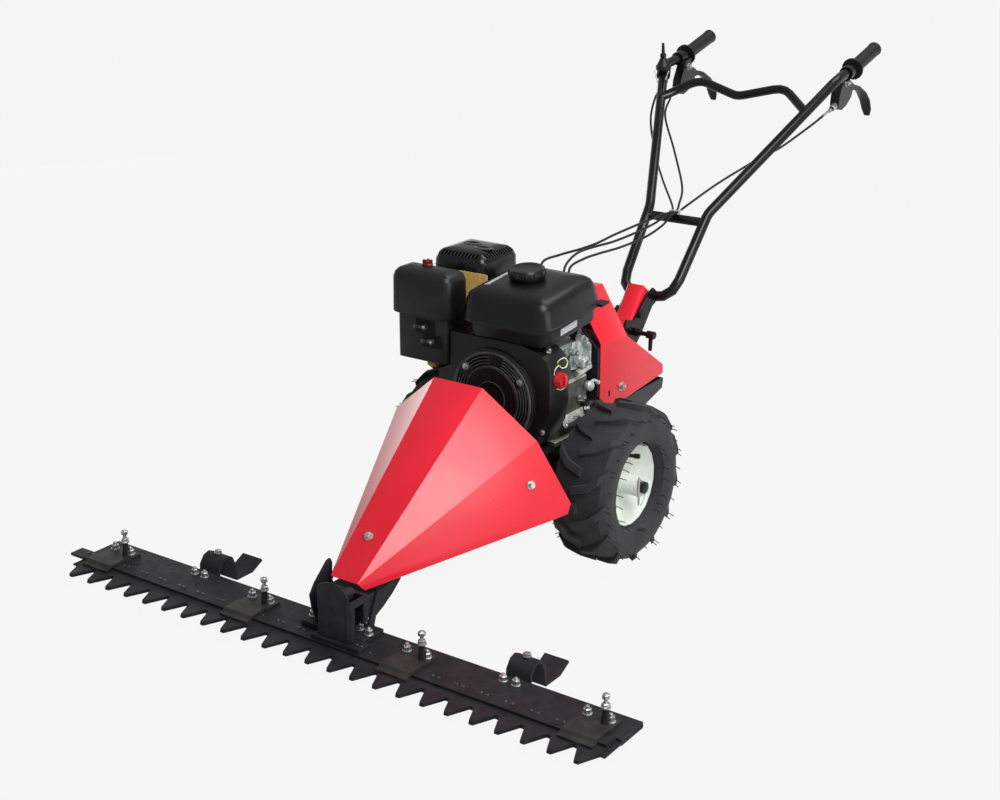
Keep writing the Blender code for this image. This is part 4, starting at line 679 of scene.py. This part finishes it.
rings = Kit()
slots = Kit()
screws = Kit()
for radius, *bar in STARTER_RINGS:
    bow(rings, radius, FULL_CIRCLE, *bar)
for start, end in LOUVRE_GROUPS:
    for k in range(LOUVRES):
        radius = LOUVRE_R + LOUVRE_PITCH * k
        bow(slots, radius, (start, end), *LOUVRE)
        bow(rings, radius + LOUVRE_PITCH / 2, (start - 1, end + 1), *LOUVRE_RIB)
for degrees, radius in BOSSES:
    t = math.radians(degrees)
    boss = STARTER_FACE @ Matrix.Translation((radius * math.cos(t), radius * math.sin(t), 0))
    rings.turned(BOSS, boss)
    screws.turned(BOSS_SCREW, boss, 18)
for at in HOUSING_SCREWS:
    screws.turned(HOUSING_SCREW, aim(at, AHEAD), 18)
# Rings, ribs and bosses are drawn lighter grey than the housing as a painted highlight; the louvre slots are
# near-black strips of painted shade
rings.done("starter_rings", RIB_HIGHLIGHT, "chassis")
slots.done("starter_slot_shade", SLOT_SHADE, "chassis")
screws.done("starter_screws", ZINC, "chassis")

# Muffler guard: slots between ribs along the four shoulders; the slots are near-black strips of painted
# shade, and the ribs a grey paler than the guard, a painted highlight on the lips
SHOULDER_Z = 0.5795
SHOULDER_OUT, SHOULDER_UP = 0.56, 0.83
# Slots and ribs in turn along a shoulder, with a slot at each end
STRIPES = 21
STRIPE_PITCH = 0.00415
STRIPE_REACH = (-0.0062, 0.0052)
STRIPE_FOOT = -0.0006
# Half width and top
GUARD_SLOT = (0.0023, 0.0003)
GUARD_RIB = (0.0010, 0.0007)
GUARD_START = (-0.2000, -0.0200)
GUARD_FRONT_REAR = ((-0.0325, -1), (0.0755, 1))
GUARD_LEFT_RIGHT = ((-0.2125, -1), (-0.1045, 1))

slots = Kit()
ribs = Kit()
for k in range(STRIPES):
    kit, (half, top) = (ribs, GUARD_RIB) if k % 2 else (slots, GUARD_SLOT)
    size = ((-half, half), STRIPE_REACH, (STRIPE_FOOT, top))
    for y, way in GUARD_FRONT_REAR:
        at = (GUARD_START[0] + STRIPE_PITCH * k, y, SHOULDER_Z)
        kit.box(aim(at, (0, way * SHOULDER_OUT, SHOULDER_UP)), *size)
    for x, way in GUARD_LEFT_RIGHT:
        at = (x, GUARD_START[1] + STRIPE_PITCH * k, SHOULDER_Z)
        kit.box(aim(at, (way * SHOULDER_OUT, 0, SHOULDER_UP)), *size)
slots.done("guard_slot_shade", SLOT_SHADE, "chassis")
ribs.done("guard_ribs", GREY_AND_HIGHLIGHT, "chassis")

# Dimples in the guard's lid: each a low oval rim round a hollow, which a bump deepens
DIMPLES = ((-0.1720, 0.0300, 0.5870), (-0.1300, 0.0080, 0.5870))
DIMPLE_STRETCH = 1.55
DIMPLE_R = 0.0112
DIMPLE_DEPTH = 0.0050
# Radius and height of the rim, from its outer foot to the middle of the hollow
DIMPLE_RIM = (
    (0.0150, -0.0002), (0.0138, 0.0007), (0.0122, 0.0013), (0.0108, 0.0011), (0.0085, 0.0005),
    (0.0055, 0.0002), (0.0020, 0.0001),
)


def dimpled(material):
    """A copy of the finish that also dips towards the middle of each dimple."""
    made = material.copy()
    made.name = "black_gloss_dimple"
    tree = made.node_tree
    here = add(tree, "ShaderNodeTexCoord").outputs["Object"]
    reaches = []
    for dimple in DIMPLES:
        settings = {"operation": "SUBTRACT", 1: dimple}
        away = add(tree, "ShaderNodeVectorMath", settings, {0: here}).outputs["Vector"]
        oval = add(tree, "ShaderNodeMapping", {"Scale": (1 / DIMPLE_STRETCH, 1, 1)}, {"Vector": away})
        reach = add(tree, "ShaderNodeVectorMath", {"operation": "LENGTH"}, {0: oval.outputs["Vector"]})
        reaches.append(reach.outputs["Value"])
    nearest = add(tree, "ShaderNodeMath", {"operation": "MINIMUM"}, dict(enumerate(reaches)))
    settings = {"interpolation_type": "SMOOTHSTEP", "From Max": DIMPLE_R}
    bowl = add(tree, "ShaderNodeMapRange", settings, {"Value": nearest.outputs["Value"]})
    settings = {"Distance": DIMPLE_DEPTH, "Strength": 1.0}
    dent = add(tree, "ShaderNodeBump", settings, {"Height": bowl.outputs["Result"]})
    tree.links.new(dent.outputs["Normal"], tree.nodes["Principled BSDF"].inputs["Normal"])
    return made


dimples = Kit()
for dimple in DIMPLES:
    middle = Vector(dimple)
    dimples.rings([
        [middle + Vector((r * DIMPLE_STRETCH * math.cos(t), r * math.sin(t), h)) for t in round_angles(28)]
        for r, h in DIMPLE_RIM
    ])
dimples.done("guard_dimples", dimpled(GUARD), "chassis", 50)

# Air cleaner knob: a cross of four wings on a disc, with a groove beside it in the lid
KNOB_AT = (-0.1850, -0.1050, 0.5681)
KNOB_TURN = 0.5
KNOB_DISC = ((0, 0.0110), (0.0030, 0.0110), (0.0045, 0.0085))
KNOB_HUB = ((0.003, 0.0048), (0.0105, 0.0044))
# Spans along the piece's own X, Y and Z
KNOB_WINGS = ((-0.0100, 0.0100), (-0.0022, 0.0022), (0.0030, 0.0110))
GROOVE = ((-0.013, 0.013), (-0.0012, 0.0012), (0, 0.0003))
GROOVE_AT = (-0.1700, -0.0900, 0.5679)
GROOVE_TURN = -0.35

kit = Kit()
knob = aim(KNOB_AT, UP)
kit.turned(KNOB_DISC, knob)
for turn in (KNOB_TURN, KNOB_TURN + math.pi / 2):
    kit.box(knob @ Matrix.Rotation(turn, 4, "Z"), *KNOB_WINGS)
kit.turned(KNOB_HUB, knob, 16)
kit.done("cleaner_knob", KNOB, "chassis", bevel=0.6 * MM)
# The groove is a thin near-black strip on the lid, painted shade
kit = Kit()
groove = aim(GROOVE_AT, UP) @ Matrix.Rotation(GROOVE_TURN, 4, "Z")
kit.box(groove, *GROOVE)
kit.done("cleaner_groove_shade", SLOT_SHADE, "chassis")

# Intake panel: dark recesses behind the two levers, and pivots in their hubs
# For each lever, X of its recess, X of its pivot, and Z of both
LEVER_HUBS = ((-0.1600, -0.160, 0.4560), (-0.1435, -0.143, 0.4280))
PANEL_Y = -0.1471
HUB_Y = -0.1541
LEVER_RECESS = ((-0.0240, 0.0240), (-0.0135, 0.0150), (-0.0002, 0.0004))
LEVER_PIVOT = ((0, 0.0030), (0.0010, 0.0028), (0.0014, 0.0016))

recesses = Kit()
pivots = Kit()
for recess_x, pivot_x, z in LEVER_HUBS:
    recess = aim((recess_x, PANEL_Y, z - 0.001), AHEAD)
    recesses.box(recess, *LEVER_RECESS)
    pivots.turned(LEVER_PIVOT, aim((pivot_x, HUB_Y, z), AHEAD), 16)
recesses.done("panel_recesses", RECESS, "chassis", bevel=0.2 * MM)
pivots.done("lever_pivots", ZINC, "chassis")

# Fuel cap: grip lobes round its edge and a raised ring on top
TANK_TILT = math.radians(5.5)
CAP_AT = (0.017, -0.05129, 0.56557)
LOBES = 12
LOBE_REACH = 0.0345
LOBE = ((0.0035, 0.0032), (0.0120, 0.0032), (0.0138, 0.0022))
CAP_RING = ((0.0235, 0.0155), (0.0238, 0.0163), (0.0252, 0.0163), (0.0256, 0.0155))

kit = Kit()
cap = aim(CAP_AT, (0, -math.sin(TANK_TILT), math.cos(TANK_TILT)))
for k in range(LOBES):
    lobe = cap @ Matrix.Rotation(math.tau * k / LOBES, 4, "Z") @ Matrix.Translation((LOBE_REACH, 0, 0))
    kit.turned(LOBE, lobe, 12)
kit.swept(CAP_RING, cap, round_angles(48), True)
kit.done("cap_lobes", TANK, "fuel_cap", 50)

# A bare plate where a label would be, on the lower side of the tank; and a pale foil strip along the left
# edge of its top, a painted highlight on the tank's rounded edge
TANK_PLATE = ((-0.0915, 0.4720), (-0.0915, 0.4925), (-0.0350, 0.4980), (-0.0350, 0.4775))
TANK_PLATE_X = (0.1212, 0.1218)
EDGE_HIGHLIGHT_AT = (-0.0375, -0.0720, 0.5571)
EDGE_HIGHLIGHT_FACING = (-0.18, -0.09, 0.98)
EDGE_HIGHLIGHT = ((-0.0050, 0.0050), (-0.0400, 0.0400), (-0.0006, 0.0004))

kit = Kit()
kit.rings([[(x, y, z) for y, z in TANK_PLATE] for x in TANK_PLATE_X])
kit.done("tank_plate", FOIL, "chassis")
# The edge strip is a painted highlight, not a plate
kit = Kit()
kit.box(aim(EDGE_HIGHLIGHT_AT, EDGE_HIGHLIGHT_FACING, (0, 1, 0)), *EDGE_HIGHLIGHT)
kit.done("tank_edge_highlight", FOIL, "chassis")

# Switch lead: a looped thin wire over the stop switch and a short one under it
LEAD_OVER = (
    (0.1290, -0.124, 0.404), (0.1310, -0.125, 0.414), (0.1310, -0.113, 0.420), (0.1310, -0.100, 0.412),
    (0.1310, -0.086, 0.411), (0.1310, -0.081, 0.420), (0.1300, -0.092, 0.430), (0.1260, -0.106, 0.426),
    (0.1200, -0.100, 0.412),
)
LEAD_UNDER = (
    (0.1290, -0.116, 0.374), (0.1330, -0.104, 0.370), (0.1330, -0.090, 0.374), (0.1260, -0.080, 0.384),
)
LEAD_OVER_R = 0.0012
LEAD_UNDER_R = 0.0011

kit = Kit()
kit.tube(LEAD_OVER, LEAD_OVER_R, 8, 8)
kit.tube(LEAD_UNDER, LEAD_UNDER_R, 8, 8)
kit.done("switch_lead", LEAD, "chassis", 50)

# Right side of the engine: linkage bolts, sump bolts and ledge, silver knob with its lever, and springs
SUMP_FACING = (0.85, 0, 0.52)
# Place, and the size across the nut
LINKAGE_BOLTS = (
    ((0.1022, -0.0080, 0.4130), 0.0085),
    ((0.1062, 0.0285, 0.3845), 0.0095),
    ((0.1022, 0.0225, 0.4340), 0.0080),
    ((0.0990, -0.0490, 0.4240), 0.0080),
    ((0.0885, -0.0280, 0.4130), 0.0070),
    ((0.0875, 0.0100, 0.3850), 0.0070),
)
# Place, axis, then the size across the nut, its height, its washer's radius, its stud and its turn
BLOCK_BOLTS = (
    ((0.1062, 0.0300, 0.2865), SUMP_FACING, 0.0080, 0.004, 0.0060, 0.002, 0.3),
    ((0.1062, -0.0470, 0.2735), SUMP_FACING, 0.0080, 0.004, 0.0060, 0.002, 0.3),
    ((0.1040, -0.1080, 0.4430), (0.62, 0, 0.78), 0.0080, 0.004, 0.0062, 0.001, 0.1),
    ((0.0960, 0.0420, 0.4190), (0.9, -0.4, 0), 0.0085, 0.005, 0.0062, 0.002, 0.2),
    ((0.0930, 0.0240, 0.3040), UP, 0.0080, 0.005, 0.0058, 0.003, 0.2),
    ((0.0905, 0.0420, 0.2990), (0.6, 0, 0.8), 0.0080, 0.005, 0.0058, 0.003, 0.5),
)
LEDGE_AT = (0.1006, -0.0060, 0.2815)
LEDGE = ((-0.0440, 0.0420), (-0.0085, 0.0085), (-0.0004, 0.0012))
SIDE_KNOB_AT = (0.0990, 0.0530, 0.3270)
SIDE_KNOB_AXIS = (1, -0.25, 0.1)
SIDE_KNOB = (
    (-0.0150, 0.0040), (-0.0060, 0.0042), (-0.0055, 0.0098), (0.0025, 0.0105), (0.0050, 0.0088),
    (0.0060, 0.0040),
)
KNOB_LEVER = ((0.0960, 0.0560, 0.3300), (0.0960, 0.0720, 0.3330), (0.0960, 0.0860, 0.3260))
KNOB_LEVER_R = 0.0034
KNOB_LEVER_TIP_AT = (0.0960, 0.0870, 0.3250)
KNOB_LEVER_TIP_AXIS = (0, 1, -0.4)
KNOB_LEVER_TIP = ((-0.002, 0.0046), (0.004, 0.0046))
# Start, end, radius, wire radius and turns
SPRINGS = (
    ((0.0900, 0.0060, 0.3780), (0.0900, 0.0060, 0.4000), 0.0030, 0.0006, 9),
    ((0.0940, -0.0420, 0.4140), (0.0960, -0.0160, 0.4170), 0.0026, 0.0006, 9),
    ((0.0925, 0.0160, 0.3600), (0.0960, 0.0440, 0.3700), 0.0079, 0.0007, 8),
)

kit = Kit()
for at, across in LINKAGE_BOLTS:
    kit.nut(aim(at, TO_RIGHT), across, height=0.0045, washer=across * 0.72, stud=0.002, turn=0.15)
for at, axis, *size in BLOCK_BOLTS:
    kit.nut(aim(at, axis), *size)
kit.done("side_bolts", ZINC, "chassis")
kit = Kit()
kit.box(aim(LEDGE_AT, SUMP_FACING), *LEDGE)
kit.done("sump_ledge", PASSIVE, "chassis", bevel=0.5 * MM)
kit = Kit()
kit.turned(SIDE_KNOB, aim(SIDE_KNOB_AT, SIDE_KNOB_AXIS))
kit.tube(KNOB_LEVER, KNOB_LEVER_R, 12, 6)
kit.turned(KNOB_LEVER_TIP, aim(KNOB_LEVER_TIP_AT, KNOB_LEVER_TIP_AXIS), 16)
kit.done("side_knob", PASSIVE, "chassis", 50)
kit = Kit()
for spring in SPRINGS:
    kit.coil(*spring)
kit.done("linkage_springs", ZINC, "chassis", 50)

# Control cables: smooth sheaths along the routed runs; the upper runs ride on the handle, and the lower runs
# are fixed in place
CABLE_R = 0.0026
UPPER = {
    "clutch_cable_right": (
        (0.2065, 0.9012, 0.7777), (0.204, 0.880, 0.771), (0.1947, 0.820, 0.750), (0.157, 0.752, 0.708),
        (0.1326, 0.7325, 0.6935), (0.110, 0.707, 0.6755), (0.062, 0.640, 0.634), (0.022, 0.591, 0.594),
        (0.0085, 0.576, 0.580), (0.0045, 0.5670, 0.5743), (0.0045, 0.5565, 0.5741),
    ),
    "clutch_cable_left": (
        (-0.2065, 0.9012, 0.7777), (-0.204, 0.888, 0.769), (-0.1895, 0.84, 0.7335), (-0.1066, 0.74, 0.6757),
        (-0.033, 0.650, 0.6149), (-0.0116, 0.600, 0.5857), (-0.0045, 0.579, 0.577), (-0.003, 0.567, 0.5742),
        (-0.003, 0.5565, 0.5741),
    ),
    "throttle_cable": (
        (-0.2124, 0.869, 0.805), (-0.2155, 0.865, 0.796), (-0.224, 0.849, 0.772), (-0.2225, 0.829, 0.7197),
        (-0.1896, 0.800, 0.648), (-0.1248, 0.720, 0.6108), (-0.0433, 0.620, 0.582), (-0.0175, 0.582, 0.5755),
        (-0.0105, 0.567, 0.5742), (-0.0105, 0.5565, 0.5741),
    ),
}
LOWER = {
    "clutch_cable_right_lower": (
        (0.0045, 0.5562, 0.5741), (0.0062, 0.530, 0.5725), (0.013, 0.480, 0.5615), (0.017, 0.400, 0.5525),
        (0.016, 0.300, 0.5505), (0.015, 0.220, 0.554), (0.0175, 0.150, 0.5563), (0.0205, 0.096, 0.5500),
        (0.029, 0.083, 0.520), (0.030, 0.0865, 0.444),
    ),
    "clutch_cable_left_lower": (
        (-0.003, 0.5562, 0.5741), (-0.0015, 0.515, 0.5725), (0.006, 0.450, 0.569), (0.011, 0.360, 0.567),
        (0.0094, 0.280, 0.5655), (0.0047, 0.220, 0.567), (0.0036, 0.160, 0.5680), (0.0110, 0.110, 0.5630),
        (0.0180, 0.078, 0.548), (0.0165, 0.078, 0.500), (0.016, 0.0815, 0.444),
    ),
    "throttle_cable_lower": (
        (-0.0105, 0.5562, 0.5741), (-0.0095, 0.510, 0.5755), (-0.004, 0.400, 0.5765), (-0.004, 0.300, 0.573),
        (-0.005, 0.240, 0.5685), (-0.011, 0.180, 0.5665), (-0.020, 0.120, 0.5660), (-0.035, 0.080, 0.557),
        (-0.030, 0.070, 0.520), (0.030, 0.066, 0.455), (0.088, 0.064, 0.418), (0.098, 0.0465, 0.405),
    ),
}
for name, points in UPPER.items():
    kit = Kit()
    kit.tube(points, CABLE_R)
    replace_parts(kit.done(name + "_sheath", SHEATH, "handle", 50), name)
for name, points in LOWER.items():
    kit = Kit()
    kit.tube(points, CABLE_R)
    sheath = kit.done(name + "_sheath", SHEATH, None, 50)
    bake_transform(sheath)
    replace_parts(sheath, name)

# Cable tie round the three sheaths on the lower cross tube, with its lock
TIE_Y = 0.5640
TIE_BAND = (
    (-0.015, 0.570), (-0.0145, 0.577), (-0.006, 0.5785), (0.006, 0.5785), (0.009, 0.576), (0.0095, 0.570),
)
TIE_BAND_R = 0.0014
TIE_LOCK_AT = (0.0100, TIE_Y, 0.5765)
TIE_LOCK = ((-0.0025, 0.0025), (-0.003, 0.003), (-0.002, 0.004))

kit = Kit()
kit.tube([(x, TIE_Y, z) for x, z in TIE_BAND], TIE_BAND_R, 8, 6)
kit.box(Matrix.Translation(TIE_LOCK_AT), *TIE_LOCK)
kit.done("cable_tie", NYLON, "handle", 50)

# Cable adjusters at the clutch perches, a bright sleeve on the right cable, and the bolts of the perches
ADJUSTER = (0.2065, 0.9262, 0.7851)
CABLE_RUN = (0, -0.024, -0.007)
# Size across the flats, foot and top, then the two turned parts beyond it
ADJUSTER_HEX = (0.0140, 0.001, 0.0060)
ADJUSTER_BARREL = ((0.006, 0.0072), (0.018, 0.0072), (0.0195, 0.0055))
ADJUSTER_NOSE = ((0.0195, 0.0046), (0.0340, 0.0042))
SLEEVE_END = (0.2002, 0.852, 0.7612)
SLEEVE_R = 0.0031
PERCH_BOLTS = ((0.2180, 0.9530, 0.8330), (-0.1950, 0.9560, 0.8380))

kit = Kit()
for side in (1, -1):
    run = aim(sided(ADJUSTER, side), CABLE_RUN)
    kit.hexagon(run, *ADJUSTER_HEX, 0.2)
    kit.turned(ADJUSTER_BARREL, run, 20)
    kit.turned(ADJUSTER_NOSE, run, 16)
kit.tube(UPPER["clutch_cable_right"][:2] + (SLEEVE_END,), SLEEVE_R, 12, 6)
for at in PERCH_BOLTS:
    kit.nut(aim(at, TO_RIGHT), across=0.0110, height=0.005, washer=0.0085, stud=0.003, turn=0.2)
kit.done("adjusters", ZINC, "handle")

# Throttle bracket: two thin white legs and the bow that joins them
BRACKET_LEFT = ((-0.2265, 0.8470, 0.8380), (-0.2215, 0.8450, 0.8240), (-0.2165, 0.8440, 0.8120))
BRACKET_RIGHT = ((-0.1885, 0.8470, 0.8400), (-0.1925, 0.8450, 0.8250), (-0.1965, 0.8440, 0.8120))
BRACKET_BOW = (BRACKET_LEFT[-1], (-0.2065, 0.8425, 0.8115), BRACKET_RIGHT[-1])
BRACKET_R = 0.0011

kit = Kit()
for points in (BRACKET_LEFT, BRACKET_RIGHT, BRACKET_BOW):
    kit.tube(points, BRACKET_R, 8, 4)
kit.done("throttle_bracket", NYLON, "handle", 50)

# Studio: four soft lights, a white background and a floor of white paper
WHITE = linear("F8F8F8")
GLOSSY_SHARE = 0.25
FLOOR_SHARE = 0.97
FLOOR_HALF = 30
FLOOR_Z = -0.0006


def background_rays(tree, camera_share):
    """How much of the plain white a ray sees. A glossy ray sees little, or black paint would turn grey."""
    ray = add(tree, "ShaderNodeLightPath")
    parts = {
        "Is Camera Ray": camera_share,
        "Is Transmission Ray": camera_share,
        "Is Glossy Ray": GLOSSY_SHARE,
    }
    shares = []
    for kind, part in parts.items():
        share = add(tree, "ShaderNodeMath", {"operation": "MULTIPLY", 1: part}, {0: ray.outputs[kind]})
        shares.append(share.outputs["Value"])
    most = shares[0]
    for share in shares[1:]:
        most = add(tree, "ShaderNodeMath", {"operation": "MAXIMUM"}, {0: most, 1: share}).outputs["Value"]
    return most


def softbox(name, at, target, size, power):
    """A soft rectangular light that looks from one place to another."""
    light = bpy.data.lights.new(name, "AREA")
    light.shape = "RECTANGLE"
    light.size, light.size_y = size
    light.energy = power
    made = bpy.data.objects.new(name, light)
    bpy.context.scene.collection.objects.link(made)
    made.matrix_world = aim(at, Vector(at) - Vector(target))


# World: plain white to the camera; as a light, bright only in a low band behind the machine
world = bpy.data.worlds.new("studio")
bpy.context.scene.world = world
world.use_nodes = True
tree = world.node_tree
backdrop = tree.nodes["Background"]
backdrop.inputs["Color"].default_value = WHITE
generated = add(tree, "ShaderNodeTexCoord").outputs["Generated"]
way = add(tree, "ShaderNodeSeparateXYZ", {}, {"Vector": generated})
settings = {"From Min": 0.04, "From Max": 0.26, "To Min": 1.0, "To Max": 0.0}
low = add(tree, "ShaderNodeMapRange", settings, {"Value": way.outputs["Z"]})
behind = add(tree, "ShaderNodeMapRange", {"From Min": -0.55, "From Max": 0.05}, {"Value": way.outputs["Y"]})
links = {0: low.outputs["Result"], 1: behind.outputs["Result"]}
band = add(tree, "ShaderNodeMath", {"operation": "MULTIPLY"}, links)
level = add(tree, "ShaderNodeMapRange", {"To Min": 0.24, "To Max": 1.15}, {"Value": band.outputs["Value"]})
tree.links.new(level.outputs["Result"], backdrop.inputs["Strength"])
plain = add(tree, "ShaderNodeBackground", {"Color": WHITE, "Strength": 1.0})
links = {0: background_rays(tree, 1.0), 1: backdrop.outputs[0], 2: plain.outputs[0]}
seen = add(tree, "ShaderNodeMixShader", {}, links)
tree.links.new(seen.outputs[0], tree.nodes["World Output"].inputs["Surface"])

softbox("key", (2.25, -1.25, 3.15), (0.1, -0.3, 0.3), (1.9, 1.9), 100)
softbox("top", (0.9, 1.4, 3.6), (0, 0, 0.4), (2.0, 2.0), 45)
softbox("left_back", (-4.0, 1.9, 0.5), (0, -0.3, 0.4), (1.8, 0.9), 14)
softbox("right", (4.0, -0.6, 1.1), (0, 0, 0.4), (2.0, 1.6), 34)

# Floor: matt paper, nearly plain white to the camera, which glows far behind the machine and to its right
paper = bpy.data.materials.new("white_sweep")
paper.use_nodes = True
tree = paper.node_tree
shader = tree.nodes["Principled BSDF"]
shader.inputs["Base Color"].default_value = linear("BCBCBC")
shader.inputs["Roughness"].default_value = 0.9
glow = add(tree, "ShaderNodeEmission", {"Color": WHITE, "Strength": 1.0})
here = add(tree, "ShaderNodeTexCoord").outputs["Object"]
place = add(tree, "ShaderNodeSeparateXYZ", {}, {"Vector": here})
settings = {"From Min": 1.6, "From Max": 3.2, "To Max": 0.9}
far = add(tree, "ShaderNodeMapRange", settings, {"Value": place.outputs["Y"]})
settings = {"From Min": 1.4, "From Max": 2.6, "To Max": 0.55}
aside = add(tree, "ShaderNodeMapRange", settings, {"Value": place.outputs["X"]})
share = background_rays(tree, FLOOR_SHARE)
for glowing in (far.outputs["Result"], aside.outputs["Result"]):
    share = add(tree, "ShaderNodeMath", {"operation": "MAXIMUM"}, {0: share, 1: glowing}).outputs["Value"]
surface = add(tree, "ShaderNodeMixShader", {}, {0: share, 1: shader.outputs[0], 2: glow.outputs[0]})
tree.links.new(surface.outputs[0], tree.nodes["Material Output"].inputs["Surface"])

corners = [(x * FLOOR_HALF, y * FLOOR_HALF, 0) for x, y in ((-1, -1), (1, -1), (1, 1), (-1, 1))]
floor_mesh = bpy.data.meshes.new("floor")
floor_mesh.from_pydata(corners, [], [(0, 1, 2, 3)])
floor_mesh.materials.append(paper)
floor = bpy.data.objects.new("floor", floor_mesh)
bpy.context.scene.collection.objects.link(floor)
floor.location.z = FLOOR_Z
bpy.context.scene.view_settings.view_transform = "Standard"
